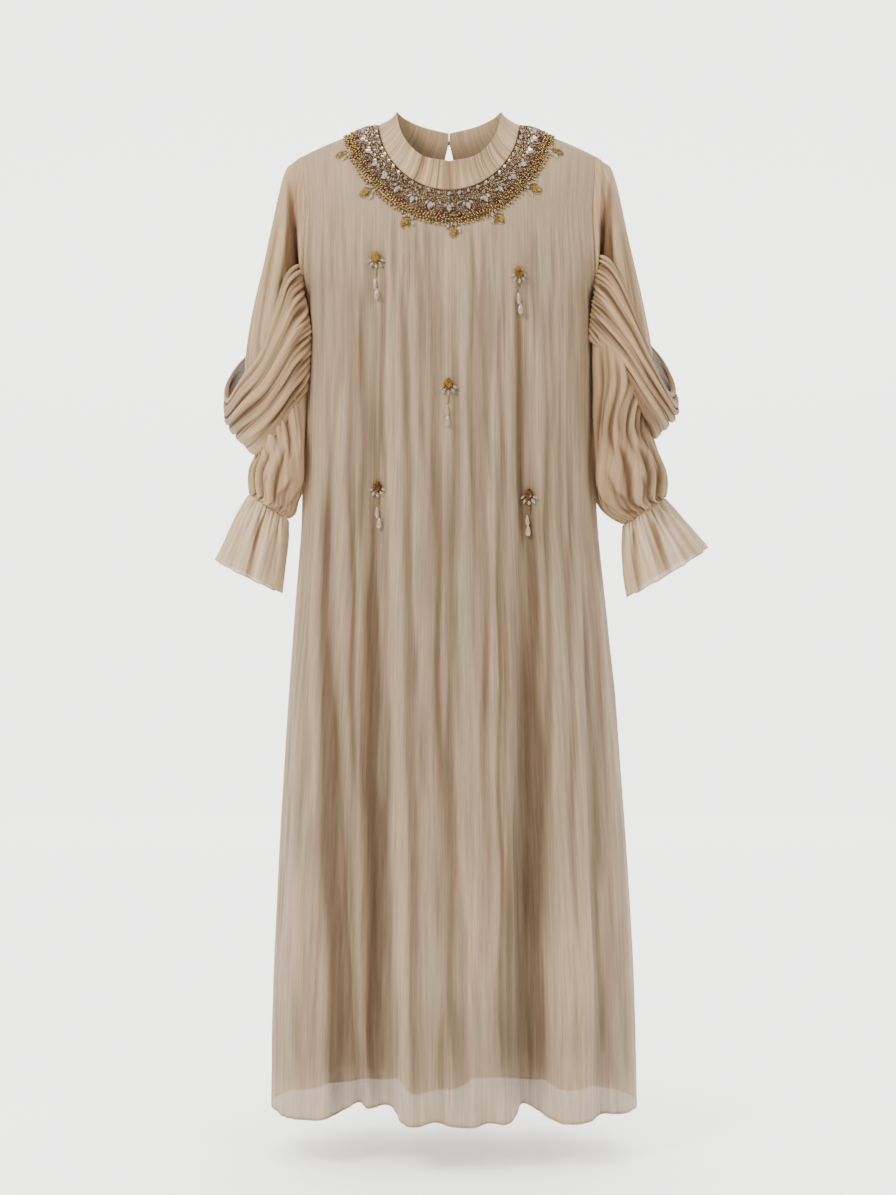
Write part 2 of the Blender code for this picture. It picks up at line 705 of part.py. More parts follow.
def make_upper_sleeve(front, back):
    ring = armhole_ring(front, back)
    top_z = ring[0].z
    bottom_z = min(point.z for point in ring)
    middle_z = (top_z + bottom_z) / 2.0
    half = (top_z - bottom_z) / 2.0
    grid = []
    for number, row in enumerate(UPPER_SLEEVE):
        outer_x, outer_z, inner_x, inner_z, depth, pull = row
        fit = ARMHOLE_FIT[number] if number < len(ARMHOLE_FIT) else 0.0
        line = []
        for point in ring:
            lean = min(max((point.z - middle_z) / half, -1.0), 1.0)
            side = math.sqrt(1.0 - lean * lean)
            if point.y < 0.0:
                side = -side
            share = (1.0 - lean) / 2.0
            oval = Vector(
                (
                    outer_x + (inner_x - outer_x) * share,
                    depth * side,
                    outer_z + (inner_z - outer_z) * share,
                )
            )
            if side < 0.0:
                oval.y *= 1.0 - pull * smooth(share * PULL_SPREAD)
            else:
                oval.y *= 1.0 - BACK_PULL_SHARE * pull * smooth(share * PULL_SPREAD)
            if number == 0:
                line.append(point + Vector((SEAM_GAP, 0.0, 0.0)))
            else:
                oval.y += (point.y - UPPER_SLEEVE[0][4] * side) * fit
                line.append(oval)
        grid.append(line)
    return grid


def smooth(value):
    value = min(max(value, 0.0), 1.0)
    return value * value * (3.0 - 2.0 * value)


def hoop_grid(rows, count, waves):
    """Rings of a sleeve or cuff from outer and inner points, with folds round it."""
    grid = []
    for row in rows:
        outer_x, outer_z, inner_x, inner_z, depth, height = row[:6]
        turn = math.radians(row[6]) if len(row) > 6 else 0.0
        middle = Vector(((outer_x + inner_x) / 2.0, 0.0, (outer_z + inner_z) / 2.0))
        outward = Vector((outer_x, 0.0, outer_z)) - middle
        half = outward.length
        line = []
        for place in range(count):
            angle = 2.0 * math.pi * place / count
            wave = height * math.cos(waves * angle)
            seen = angle + turn * math.sin(angle)
            reach = 1.0 + wave / half
            deep = depth + wave
            line.append(
                middle
                + outward * (math.cos(seen) * reach)
                + Vector((0.0, -math.sin(seen) * deep, 0.0))
            )
        grid.append(line)
    return grid


def sling_grid(rows):
    """Sling of pleats round the sleeve, a column for each place along it."""
    table = [(float(number), *row) for number, row in enumerate(rows)]
    columns = []
    count = 2 * SLING_PLEATS
    for place in range(SLING_COLUMNS + 1):
        at = place * (len(rows) - 1) / SLING_COLUMNS
        values = [follow(table, at, column) for column in range(1, 9)]
        rim = Vector(values[0:3])
        low = Vector(values[3:6])
        bulge, height = values[6:8]
        middle = rim.lerp(low, 0.5)
        swell_y = middle.y * SLING_SWELL_DEPTH_SHARE
        away = Vector((middle.x - SLING_CENTRE_X, swell_y, 0.0)).normalized()
        column = []
        for step in range(count + 1):
            share = step / count
            pleat = height * math.cos(math.pi * step)
            column.append(
                rim.lerp(low, share)
                + away * (bulge * math.sin(math.pi * share) + pleat)
            )
        columns.append(column)
    return columns


def sew_gathers(columns, sleeve, rows):
    """Brings both gathered ends of a sling onto the upper sleeve, pleats standing out."""
    bm = surface(sleeve, ring=True)
    tree = BVHTree.FromBMesh(bm)
    bm.free()
    for place, row in ((0, rows[0]), (-1, rows[-1])):
        height = row[-1]
        for step, point in enumerate(columns[place]):
            if point.z < GATHER_LOW_END:
                continue
            on_sleeve = tree.find_nearest(point)[0]
            away = (point - on_sleeve).normalized()
            pleat = height * (1.0 + math.cos(math.pi * step))
            columns[place][step] = on_sleeve + away * (WALL + GATHER_GAP + pleat)


def make_sleeves(front, back, collection, materials):
    upper = make_upper_sleeve(front, back)
    chiffon = materials["sleeve_chiffon"]
    around = SLEEVE_FOLDS * COLUMNS_PER_FOLD
    cuff_around = CUFF_WAVES * COLUMNS_PER_FOLD
    sides = (
        ("right", 1.0, LOWER_SLEEVE_RIGHT, CUFF_RIGHT, SLING_RIGHT),
        ("left", -1.0, LOWER_SLEEVE_LEFT, CUFF_LEFT, SLING_LEFT),
    )
    for name, sign, lower_rows, cuff_rows, sling_rows in sides:
        sling = sling_grid(sling_rows)
        sew_gathers(sling, upper, sling_rows)
        pieces = (
            ("upper_sleeve_", upper, True, chiffon),
            ("lower_sleeve_", hoop_grid(lower_rows, around, SLEEVE_FOLDS), True, chiffon),
            ("cuff_", hoop_grid(cuff_rows, cuff_around, CUFF_WAVES), True,
             materials["sheer_cuff"]),
            ("sling_", sling, False, chiffon),
        )
        for label, grid, ring, material in pieces:
            if sign < 0.0:
                grid = mirrored(grid)
            normals = outward_normals(grid, sleeve_axis(grid, ring), ring)
            if ring:
                level_end(grid[-1], normals[-1])
            if label == "upper_sleeve_":
                fit_armhole(grid[0], normals[0], sign)
            if label in ("lower_sleeve_", "cuff_"):
                level_end(grid[0], normals[0])
            cloth(label + name, grid, normals, collection, material, ring)


def fit_armhole(ring, normals, sign):
    """Keeps the sleeve's first edge clear of the wall of the panels."""
    top = max(point.z for point in ring)
    bottom = min(point.z for point in ring)
    for place, point in enumerate(ring):
        lean, side, low = armhole_place(point, top, bottom)
        normals[place] = Vector((-sign * UNDERARM_TURN * low, side, lean)).normalized()


def level_end(ring, normals):
    """Keeps the wall at an end of a sleeve in the plane of its seam."""
    quarter = len(ring) // 4
    across = ring[0] - ring[2 * quarter]
    along = ring[quarter] - ring[3 * quarter]
    plane = across.cross(along).normalized()
    for place, normal in enumerate(normals):
        normals[place] = (normal - plane * normal.dot(plane)).normalized()


def sleeve_axis(grid, ring):
    """Inside points of a sleeve: the middle of the nearest ring, or of the sling."""
    points = [point for line in grid for point in line]
    middle = sum(points, Vector()) / len(points)
    middles = [sum(line, Vector()) / len(line) for line in grid]

    def inside(point):
        if not ring:
            return Vector((middle.x, middle.y, point.z))
        return min(middles, key=lambda centre: (centre - point).length)

    return inside


def make_yoke(front, normals, collection, material):
    """Band of beads: a plain inside on the panel and beads raised on the outside."""
    bm_grid = []
    outward = []
    for number, line in enumerate(front[: YOKE_LAST_ROW + 1]):
        points = []
        raised = []
        for place, point in enumerate(line):
            normal = normals[number][place]
            height = YOKE_BASE
            for bead_row, first, step, bead_height in YOKE_BEADS:
                if number == bead_row and place >= first and (place - first) % step == 0:
                    height += bead_height
            points.append(point + normal * SEAM_GAP)
            raised.append(normal * height)
        bm_grid.append(points)
        outward.append(raised)
    bm = surface(bm_grid)
    wall_from(bm, bm_grid, outward, -1.0)
    add_object(bm, "yoke_beadwork", collection, material, False)


def panel_tree(front):
    bm = surface(front)
    tree = BVHTree.FromBMesh(bm)
    bm.free()
    return tree


def front_face_y(tree, x, z):
    """Outermost y of the front panel at x and z."""
    hit = tree.ray_cast(Vector((x, -1.0, z)), Vector((0.0, 1.0, 0.0)))
    return hit[0].y


def make_motifs(tree, collection, material):
    for name, degrees in MOTIFS:
        x, z, turn = beside_yoke(math.radians(degrees))
        bm = bmesh.new()
        bmesh.ops.create_cone(
            bm,
            cap_ends=True,
            segments=MOTIF_SIDES,
            radius1=0.5,
            radius2=0.5 * MOTIF_FACE_SHARE,
            depth=1.0,
        )
        for vert in bm.verts:
            wide = 1.0 - (1.0 - MOTIF_TIP_SHARE) * (0.5 - vert.co.y)
            vert.co = Vector(
                (
                    vert.co.x * MOTIF_WIDTH * wide,
                    -(vert.co.z + 0.5) * MOTIF_THICKNESS,
                    vert.co.y * MOTIF_LENGTH,
                )
            )
        centre, slope = resting_frame(tree, x, z, turn)
        for vert in bm.verts:
            vert.co = centre + slope @ vert.co
        bmesh.ops.recalc_face_normals(bm, faces=bm.faces[:])
        clear_front(tree, bm)
        add_object(bm, name, collection, material, False)


def beside_yoke(angle):
    """Middle of a motif just off the band's lower edge, and its turn."""
    end_x, end_z, middle_z, _, power = PANEL_ROWS[YOKE_LAST_ROW][:5]
    cosine = math.cos(angle)
    drop = (end_z - middle_z) * cosine**power
    along_x = end_x * cosine
    along_z = (end_z - middle_z) * power * cosine ** (power - 1.0) * math.sin(angle)
    length = math.hypot(along_x, along_z)
    away_x = along_z / length
    away_z = -along_x / length
    reach = MOTIF_LENGTH / 2.0 + MOTIF_GAP
    x = end_x * math.sin(angle) + away_x * reach
    z = end_z - drop + away_z * reach
    return x, z, math.atan2(-away_x, -away_z)


def resting_frame(tree, x, z, turn):
    """Place on the panel and the turn that lays a small piece flat on it."""
    reach = MOTIF_SLOPE_REACH
    here = Vector((x, front_face_y(tree, x, z), z))
    right = Vector((x + reach, front_face_y(tree, x + reach, z), z)) - here
    up = Vector((x, front_face_y(tree, x, z + reach), z + reach)) - here
    outward = right.cross(up).normalized()
    across = (right - outward * right.dot(outward)).normalized()
    along = across.cross(outward).normalized()
    if along.z < 0.0:
        along = -along
    turned = across * math.cos(turn) - along * math.sin(turn)
    rising = along * math.cos(turn) + across * math.sin(turn)
    frame = Vector((1.0, 0.0, 0.0)).to_track_quat("X", "Z").to_matrix()
    frame.col[0] = turned
    frame.col[1] = -outward
    frame.col[2] = rising
    return here, frame


def clear_front(tree, bm):
    """Moves a small piece forward until it stands just clear of the panel."""
    nearest = 1.0
    for vert in bm.verts:
        hit = tree.ray_cast(Vector((vert.co.x, -1.0, vert.co.z)), Vector((0.0, 1.0, 0.0)))
        if hit[0] is not None:
            nearest = min(nearest, hit[0].y - vert.co.y)
    bmesh.ops.translate(bm, verts=bm.verts[:], vec=(0.0, nearest - REST_GAP, 0.0))


def make_drops(tree, collection, material):
    for name, x, z in DROPS:
        rings = []
        for length, half_width, half_thickness in DROP_FORM:
            ring = []
            for place in range(DROP_SIDES):
                angle = 2.0 * math.pi * (place + 0.5) / DROP_SIDES
                ring.append(
                    Vector(
                        (
                            x + half_width * math.cos(angle),
                            half_thickness * math.sin(angle),
                            z - length,
                        )
                    )
                )
            rings.append(ring)
        bm = surface(rings, ring=True)
        bmesh.ops.holes_fill(bm, edges=bm.edges[:], sides=0)
        bmesh.ops.recalc_face_normals(bm, faces=bm.faces[:])
        lean_on_front(tree, bm, x, z)
        add_object(bm, name, collection, material)


def lean_on_front(tree, bm, x, z):
    """Lays a drop along the panel's slope, just clear of it."""
    length = DROP_FORM[-1][0]
    top = front_face_y(tree, x, z)
    foot = front_face_y(tree, x, z - length)
    for vert in bm.verts:
        share = (z - vert.co.z) / length
        vert.co.y += top + (foot - top) * share
    clear_front(tree, bm)


def make_fastening(collection, materials):
    bm = bmesh.new()
    bmesh.ops.create_uvsphere(
        bm, u_segments=BUTTON_SEGMENTS, v_segments=BUTTON_RINGS, radius=BUTTON_RADIUS
    )
    bmesh.ops.translate(bm, verts=bm.verts[:], vec=(0.0, BUTTON_REST, BUTTON_HEIGHT))
    add_object(bm, "collar_button", collection, materials["aged_brass"])
    rings = []
    slope = math.radians(LOOP_SLOPE)
    for place in range(LOOP_SEGMENTS):
        angle = 2.0 * math.pi * place / LOOP_SEGMENTS
        ring = []
        for step in range(CORD_SIDES):
            turn = 2.0 * math.pi * step / CORD_SIDES
            reach = LOOP_RADIUS + LOOP_CORD_RADIUS * math.cos(turn)
            ahead = LOOP_CORD_RADIUS * math.sin(turn)
            rise = reach * math.sin(angle)
            ring.append(
                Vector(
                    (
                        reach * math.cos(angle),
                        LOOP_REST - rise * math.sin(slope) + ahead * math.cos(slope),
                        BUTTON_HEIGHT + rise * math.cos(slope) + ahead * math.sin(slope),
                    )
                )
            )
        rings.append(ring)
    bm = surface(rings + [rings[0]], ring=True)
    bmesh.ops.remove_doubles(bm, verts=bm.verts[:], dist=MERGE_DISTANCE)
    bmesh.ops.recalc_face_normals(bm, faces=bm.faces[:])
    add_object(bm, "button_loop", collection, materials["cord"])


def main():
    clear_scene()
    collection = make_collection()
    materials = make_materials()
    front, back, front_normals = make_panels(collection, materials)
    make_lining(front, back, collection, materials["lining_crepe"])
    make_collar(front, back, collection, materials["collar_chiffon"])
    make_sleeves(front, back, collection, materials)
    make_yoke(front, front_normals, collection, materials["beadwork"])
    tree = panel_tree(front)
    make_motifs(tree, collection, materials["amber_and_crystal"])
    make_drops(tree, collection, materials["crystal_and_pearl"])
    make_fastening(collection, materials)


main()
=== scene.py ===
import math

import bmesh
import bpy
import numpy as np
from mathutils import Matrix, Vector
from mathutils.bvhtree import BVHTree


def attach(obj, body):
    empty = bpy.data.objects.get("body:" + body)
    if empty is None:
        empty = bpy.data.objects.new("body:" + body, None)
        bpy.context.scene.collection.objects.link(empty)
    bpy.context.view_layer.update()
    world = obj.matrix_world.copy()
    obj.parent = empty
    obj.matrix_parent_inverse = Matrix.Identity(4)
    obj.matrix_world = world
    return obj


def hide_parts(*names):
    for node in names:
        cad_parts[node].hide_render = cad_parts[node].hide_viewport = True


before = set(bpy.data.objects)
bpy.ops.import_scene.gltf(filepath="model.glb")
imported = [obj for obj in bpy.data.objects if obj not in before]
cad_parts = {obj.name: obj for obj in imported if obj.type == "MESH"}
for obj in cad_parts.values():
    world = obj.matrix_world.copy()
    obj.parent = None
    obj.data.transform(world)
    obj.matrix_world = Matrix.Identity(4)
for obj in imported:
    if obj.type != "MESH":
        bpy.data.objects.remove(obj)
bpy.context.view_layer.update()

# Cloth thickness and seams
CHIFFON_THICKNESS = 0.0006
LINING_THICKNESS = 0.0005
SEAM_GAP = 0.0003

# Lengths down from the shoulders
HEM_HEIGHT = -1.387
UNDERARM_HEIGHT = -0.235
WIDEST_ARMHOLE_HEIGHT = -0.140
SHOULDER_ROUNDING = 0.110
NECK_TOP_HEIGHT = 0.016
SECTION_POWER = 2.3
ARMHOLE_REACH = 0.60
HEM_LIFT_IN_FOLDS = 0.28
LEAST_PUSH_AHEAD = 0.2
HEM_LIFT_FIRST_ROW = 15.0

# Neckline and collar
NECK_HALF_WIDTH = 0.101
NECK_FRONT_DEPTH = 0.095
NECK_BACK_DEPTH = 0.068
RIM_HALF_WIDTH = 0.0754
RIM_FRONT_DEPTH = 0.065
RIM_BACK_DEPTH = 0.050
COLLAR_WAIST = 0.0035
COLLAR_LIFT = 0.0008
COLLAR_HEIGHT = 0.05
COLLAR_PLEATS = 84
COLLAR_SEED = 31
PLEAT_LEAN = 0.0016
PLEAT_DEPTHS = (0.0002, 0.0009)
PLEAT_HALF_WIDTHS = (0.0005, 0.0009)
PLEAT_SHADE_DEPTH = 0.0012
COLLAR_FRONT_SHADE = 0.38
COLLAR_MOST_SHADE = 0.85
# Opening of the collar at the back: share of its height, half width in degrees
COLLAR_OPENING = (
    (0.0, 3.6),
    (0.25, 2.5),
    (0.5, 1.1),
    (0.7, 0.5),
    (1.0, 0.4),
)

# Rows of the panels: number, height at the side, height at the front middle and the back
# middle, power of the row's curve, how far the row keeps to the neckline's oval
PANEL_ROWS = (
    (0, 0.0140, -0.092, -0.028, 1.10, 1.00),
    (1, 0.0122, -0.108, -0.046, 1.18, 0.62),
    (2, 0.0065, -0.1235, -0.065, 1.22, 0.32),
    (3, -0.0020, -0.139, -0.086, 1.25, 0.12),
    (4, -0.0160, -0.168, -0.120, 1.28, 0.00),
    (5, -0.0310, -0.195, -0.150, 1.30, 0.00),
    (6, -0.058, -0.215, -0.175, 1.30, 0.00),
    (7, -0.098, -0.235, -0.200, 1.30, 0.00),
    (8, -0.148, -0.255, -0.225, 1.30, 0.00),
    (9, -0.196, -0.275, -0.255, 1.30, 0.00),
    (10, -0.235, -0.300, -0.285, 1.30, 0.00),
    (11, -0.420, -0.420, -0.420, 1.00, 0.00),
    (12, -0.620, -0.620, -0.620, 1.00, 0.00),
    (13, -0.820, -0.820, -0.820, 1.00, 0.00),
    (14, -1.030, -1.030, -1.030, 1.00, 0.00),
    (15, -1.220, -1.220, -1.220, 1.00, 0.00),
    (16, HEM_HEIGHT, HEM_HEIGHT, HEM_HEIGHT, 1.00, 0.00),
)
SHOULDER_ROW = 5.0
UNDERARM_ROW = 10.0
HEM_ROW = 16.0
YOKE_ROW = 3.0

# Distance of the shoulder end of the first rows from the middle
SHOULDER_ENDS = (
    (0, 0.1010),
    (1, 0.1155),
    (2, 0.1300),
    (3, 0.1450),
    (4, 0.1780),
    (5, 0.2095),
)

# Shoulder seam, as far as a point beyond its end: distance from the middle, height
SHOULDER_SEAM = tuple(
    (end[1], row[1]) for end, row in zip(SHOULDER_ENDS, PANEL_ROWS)
) + ((0.2400, -0.0470),)

# Body: height, half width, depth of the front, depth of the back, lean to the left side
BODY = (
    (0.030, 0.2095, 0.078, 0.066, 0.0),
    (-0.031, 0.2090, 0.088, 0.078, 0.0),
    (-0.070, 0.2055, 0.095, 0.086, 0.0),
    (-0.120, 0.2022, 0.105, 0.094, 0.0),
    (-0.185, 0.2050, 0.115, 0.100, 0.0),
    (-0.235, 0.2060, 0.120, 0.101, 0.0),
    (-0.420, 0.2080, 0.121, 0.100, 0.0),
    (-0.550, 0.2115, 0.120, 0.104, 0.0005),
    (-0.667, 0.2215, 0.122, 0.112, 0.0018),
    (-0.810, 0.2340, 0.126, 0.120, 0.0038),
    (-0.954, 0.2442, 0.130, 0.128, 0.0052),
    (-1.097, 0.2528, 0.134, 0.136, 0.0062),
    (-1.240, 0.2592, 0.138, 0.142, 0.0068),
    (-1.387, 0.2620, 0.142, 0.146, 0.0072),
)

# Largest folds of the front: x where it is high, x at the hem, height where it begins,
# depth at the hem (outward is positive), half width at the hem
FRONT_FOLDS = (
    (-0.205, -0.225, -0.45, 0.010, 0.022),
    (-0.172, -0.155, -0.35, -0.052, 0.019),
    (-0.106, -0.108, -0.14, -0.056, 0.031),
    (-0.066, -0.062, -0.20, 0.008, 0.016),
    (-0.022, -0.027, -0.14, -0.012, 0.016),
    (0.012, 0.020, -0.16, 0.006, 0.016),
    (0.044, 0.050, -0.14, -0.010, 0.016),
    (0.100, 0.112, -0.18, -0.060, 0.024),
    (0.160, 0.168, -0.30, 0.010, 0.020),
    (0.195, 0.215, -0.45, -0.012, 0.016),
)
BACK_FOLDS = (
    (-0.175, -0.195, -0.38, -0.030, 0.022),
    (-0.110, -0.128, -0.26, 0.012, 0.024),
    (-0.060, -0.068, -0.20, -0.042, 0.026),
    (0.005, 0.004, -0.30, 0.010, 0.026),
    (0.072, 0.080, -0.22, -0.046, 0.027),
    (0.130, 0.146, -0.30, 0.012, 0.024),
    (0.178, 0.202, -0.42, -0.026, 0.022),
)
FOLD_GROWTH = 1.3
FOLD_START_WIDTH = 0.55
FOLD_HIGH = -0.30
SIDE_CALM = 0.90
FOLD_SHADE_DEPTH = 0.030
DEEP_SHADE = 0.22

# Shade of the cloth by height
CLOTH_SHADE = (
    (-1.400, 0.00),
    (-1.350, 0.02),
    (-1.320, 0.22),
    (-1.150, 0.28),
    (-0.800, 0.26),
    (-0.480, 0.18),
    (-0.250, 0.05),
    (-0.100, 0.00),
    (0.030, 0.00),
)

# Smaller creases of the front: x at the top, x at the bottom, top, bottom,
# height (outward is positive), half width
FRONT_CREASES = (
    (-0.184, -0.190, -0.30, -1.00, 0.0022, 0.007),
    (-0.150, -0.147, -0.34, -1.34, 0.0030, 0.009),
    (-0.139, -0.131, -0.20, -0.92, -0.0026, 0.005),
    (-0.124, -0.128, -0.50, -1.30, 0.0020, 0.006),
    (-0.118, -0.120, -0.16, -0.60, -0.0030, 0.005),
    (-0.104, -0.101, -0.60, -1.36, -0.0030, 0.008),
    (-0.093, -0.090, -0.15, -0.52, -0.0034, 0.004),
    (-0.082, -0.078, -0.14, -0.80, 0.0024, 0.006),
    (-0.073, -0.063, -0.40, -1.38, 0.0042, 0.007),
    (-0.064, -0.060, -0.15, -0.44, -0.0030, 0.004),
    (-0.055, -0.048, -0.50, -1.37, -0.0026, 0.006),
    (-0.047, -0.044, -0.14, -0.72, 0.0026, 0.005),
    (-0.036, -0.036, -0.15, -0.50, -0.0028, 0.004),
    (-0.028, -0.020, -0.62, -1.36, 0.0022, 0.007),
    (-0.018, -0.014, -0.15, -0.95, -0.0030, 0.005),
    (-0.008, 0.002, -0.16, -0.46, 0.0020, 0.004),
    (0.002, 0.004, -0.48, -1.30, -0.0022, 0.005),
    (0.010, 0.008, -0.15, -0.62, -0.0030, 0.004),
    (0.021, 0.024, -0.16, -1.10, 0.0026, 0.006),
    (0.032, 0.034, -0.15, -0.56, -0.0032, 0.004),
    (0.038, 0.047, -0.70, -1.37, 0.0020, 0.006),
    (0.050, 0.054, -0.15, -0.84, -0.0026, 0.005),
    (0.060, 0.064, -0.30, -1.20, 0.0022, 0.006),
    (0.067, 0.074, -0.55, -1.34, -0.0034, 0.003),
    (0.072, 0.076, -0.16, -0.52, -0.0030, 0.004),
    (0.084, 0.086, -0.18, -0.98, 0.0026, 0.006),
    (0.094, 0.100, -0.17, -0.60, -0.0026, 0.004),
    (0.112, 0.124, -0.50, -1.32, -0.0030, 0.006),
    (0.122, 0.130, -0.22, -0.70, 0.0024, 0.006),
    (0.136, 0.142, -0.30, -0.95, -0.0022, 0.005),
    (0.148, 0.157, -0.55, -1.37, 0.0036, 0.008),
    (0.166, 0.176, -0.40, -1.15, -0.0024, 0.005),
    (0.180, 0.196, -0.70, -1.34, 0.0026, 0.007),
    (0.190, 0.213, -0.60, -1.30, -0.0030, 0.005),
)

# Shaded valleys of the front: x at the top, x at the bottom, top, bottom, shade, half width
FRONT_SHADES = (
    (-0.1780, -0.1545, -0.46, -1.38, 0.70, 0.0090),
    (-0.1710, -0.1540, -0.72, -1.38, 0.52, 0.0130),
    (-0.1450, -0.1350, -0.42, -1.30, 0.22, 0.0190),
    (-0.1270, -0.1230, -0.15, -0.40, 0.34, 0.0060),
    (-0.1100, -0.1030, -0.15, -0.48, 0.22, 0.0080),
    (-0.1065, -0.1075, -0.34, -1.22, 0.42, 0.0100),
    (-0.0640, -0.0560, -0.16, -0.60, 0.26, 0.0040),
    (-0.0420, -0.0440, -0.55, -1.30, 0.16, 0.0080),
    (-0.0160, -0.0020, -0.40, -1.33, 0.23, 0.0200),
    (0.0180, 0.0220, -0.60, -1.20, 0.10, 0.0080),
    (0.0440, 0.0500, -0.25, -1.00, 0.14, 0.0060),
    (0.0740, 0.0860, -0.40, -1.36, 0.34, 0.0110),
    (0.0900, 0.1120, -0.16, -0.60, 0.40, 0.0105),
    (0.1165, 0.1185, -0.44, -1.12, 0.46, 0.0145),
    (0.1500, 0.1560, -0.30, -1.20, 0.12, 0.0060),
    (0.2000, 0.2200, -0.50, -0.95, 0.24, 0.0050),
)
BACK_SHADES = (
    (-0.176, -0.192, -0.46, -1.36, 0.38, 0.0120),
    (-0.062, -0.068, -0.24, -1.36, 0.40, 0.0130),
    (-0.020, -0.012, -0.16, -0.90, 0.18, 0.0060),
    (0.034, 0.028, -0.30, -1.20, 0.14, 0.0100),
    (0.074, 0.080, -0.26, -1.36, 0.42, 0.0130),
    (0.118, 0.128, -0.40, -1.20, 0.16, 0.0060),
    (0.180, 0.200, -0.50, -1.34, 0.34, 0.0110),
)
BACK_CREASES = (
    (-0.186, -0.206, -0.45, -1.30, 0.0028, 0.008),
    (-0.160, -0.172, -0.30, -1.02, -0.0026, 0.006),
    (-0.138, -0.150, -0.52, -1.36, 0.0030, 0.008),
    (-0.121, -0.124, -0.16, -0.80, -0.0028, 0.005),
    (-0.100, -0.106, -0.40, -1.25, 0.0026, 0.007),
    (-0.084, -0.090, -0.14, -0.66, -0.0030, 0.004),
    (-0.071, -0.080, -0.60, -1.36, -0.0028, 0.006),
    (-0.052, -0.050, -0.12, -0.90, 0.0024, 0.006),
    (-0.034, -0.036, -0.12, -0.58, -0.0028, 0.004),
    (-0.022, -0.026, -0.50, -1.30, 0.0026, 0.007),
    (-0.010, -0.012, -0.13, -1.00, -0.0024, 0.005),
    (0.016, 0.018, -0.12, -0.70, -0.0028, 0.004),
    (0.028, 0.034, -0.45, -1.37, 0.0030, 0.007),
    (0.044, 0.048, -0.13, -0.85, -0.0026, 0.005),
    (0.060, 0.064, -0.60, -1.30, 0.0024, 0.006),
    (0.086, 0.096, -0.15, -1.10, -0.0026, 0.005),
    (0.106, 0.116, -0.35, -1.36, 0.0028, 0.007),
    (0.124, 0.136, -0.18, -0.74, -0.0026, 0.005),
    (0.150, 0.166, -0.50, -1.30, -0.0026, 0.006),
    (0.170, 0.190, -0.40, -1.20, 0.0026, 0.007),
)
CREASE_TAPER = 0.12
CREASE_WANDER = 0.0022
CREASE_WANDER_LENGTH = 0.31

# Layers of crinkles: distance apart, length, height
PANEL_CRINKLES = ((0.0170, 0.24, 0.0012), (0.0078, 0.10, 0.0011))
COLLAR_CRINKLES = ((0.0100, 0.09, 0.0003), (0.0050, 0.08, 0.0003))
UPPER_SLEEVE_CRINKLES = ((0.0130, 0.07, 0.0008), (0.0055, 0.05, 0.0004))
LOWER_SLEEVE_CRINKLES = ((0.0130, 0.07, 0.0016), (0.0055, 0.05, 0.0007))
CUFF_CRINKLES = ((0.0130, 0.07, 0.0013), (0.0055, 0.05, 0.0009))
SLING_CRINKLES = ((0.0042, 0.06, 0.0007), (0.0090, 0.12, 0.0006))
CRINKLE_DRIFT = 0.35

# Calm cloth beside the side seams (radians) and below the yoke (rows, more of them outward)
SEAM_CALM = 0.12
YOKE_CALM_START = -0.2
YOKE_CALM_ROWS = 1.2
YOKE_CALM_ROWS_OUTWARD = 4.5
YOKE_SIDE_X = 0.075
YOKE_SIDE_SPAN = 0.045

# Deeper crinkles on the chest: growth, height below the neck, spread
CHEST_GROWTH = 1.2
CHEST_DOWN = 0.22
CHEST_SPREAD = 0.12

# Shade of creases, armhole seam and hem fold, and the sheer hem
CREASE_SHADE_DEPTH = 0.0050
MOST_FOLD_SHADE = 0.92
SEAM_SHADE = 0.52
SEAM_SHADE_ANGLE = 0.028
HEM_FOLD_ROWS = 0.022
HEM_FOLD_SHADE = 0.34
HEM_FOLD_COVER = 0.7
SHEER_HEIGHT = -1.17
SHEER_SPAN = 0.13
# Hem of the slip at the front: distance from the middle, height
LINING_HEM = (
    (-0.2500, -1.352),
    (-0.2340, -1.349),
    (-0.1716, -1.338),
    (-0.1620, -1.320),
    (-0.1440, -1.327),
    (-0.1020, -1.331),
    (-0.0400, -1.343),
    (0.0080, -1.335),
    (0.0430, -1.314),
    (0.0680, -1.316),
    (0.0870, -1.303),
    (0.1330, -1.338),
    (0.2090, -1.340),
    (0.2505, -1.352),
)
LINING_HEM_HEIGHT = -1.340
LINING_GAP = 0.0062
LINING_TOP_ROW = 13.0
LINING_HEM_ROW = 15.72
LINING_BEND_ROW = 15.0
LINING_BEND_ROWS = 0.7
LINING_STEPS = 50
LINING_FRONT_COLUMNS = 120
LINING_BACK_COLUMNS = 70
LINING_BACK_WAVE = 0.012
LINING_BACK_WAVES = 5.0
# Collar rim: angle round from the front in degrees, height
COLLAR_RIM = (
    (0.0, -0.0470),
    (30.0, -0.0375),
    (60.0, -0.0060),
    (80.0, 0.0235),
    (96.0, 0.0340),
    (120.0, 0.0285),
    (150.0, 0.0185),
    (180.0, 0.0105),
)

# Half width of the opening under the collar at the back: row, half width
KEYHOLE = (
    (0.0, 0.0010),
    (0.6, 0.0026),
    (1.4, 0.0040),
    (2.2, 0.0038),
    (2.8, 0.0020),
    (3.0, 0.0004),
    (3.4, 0.0000),
)
KEYHOLE_END = 3.0

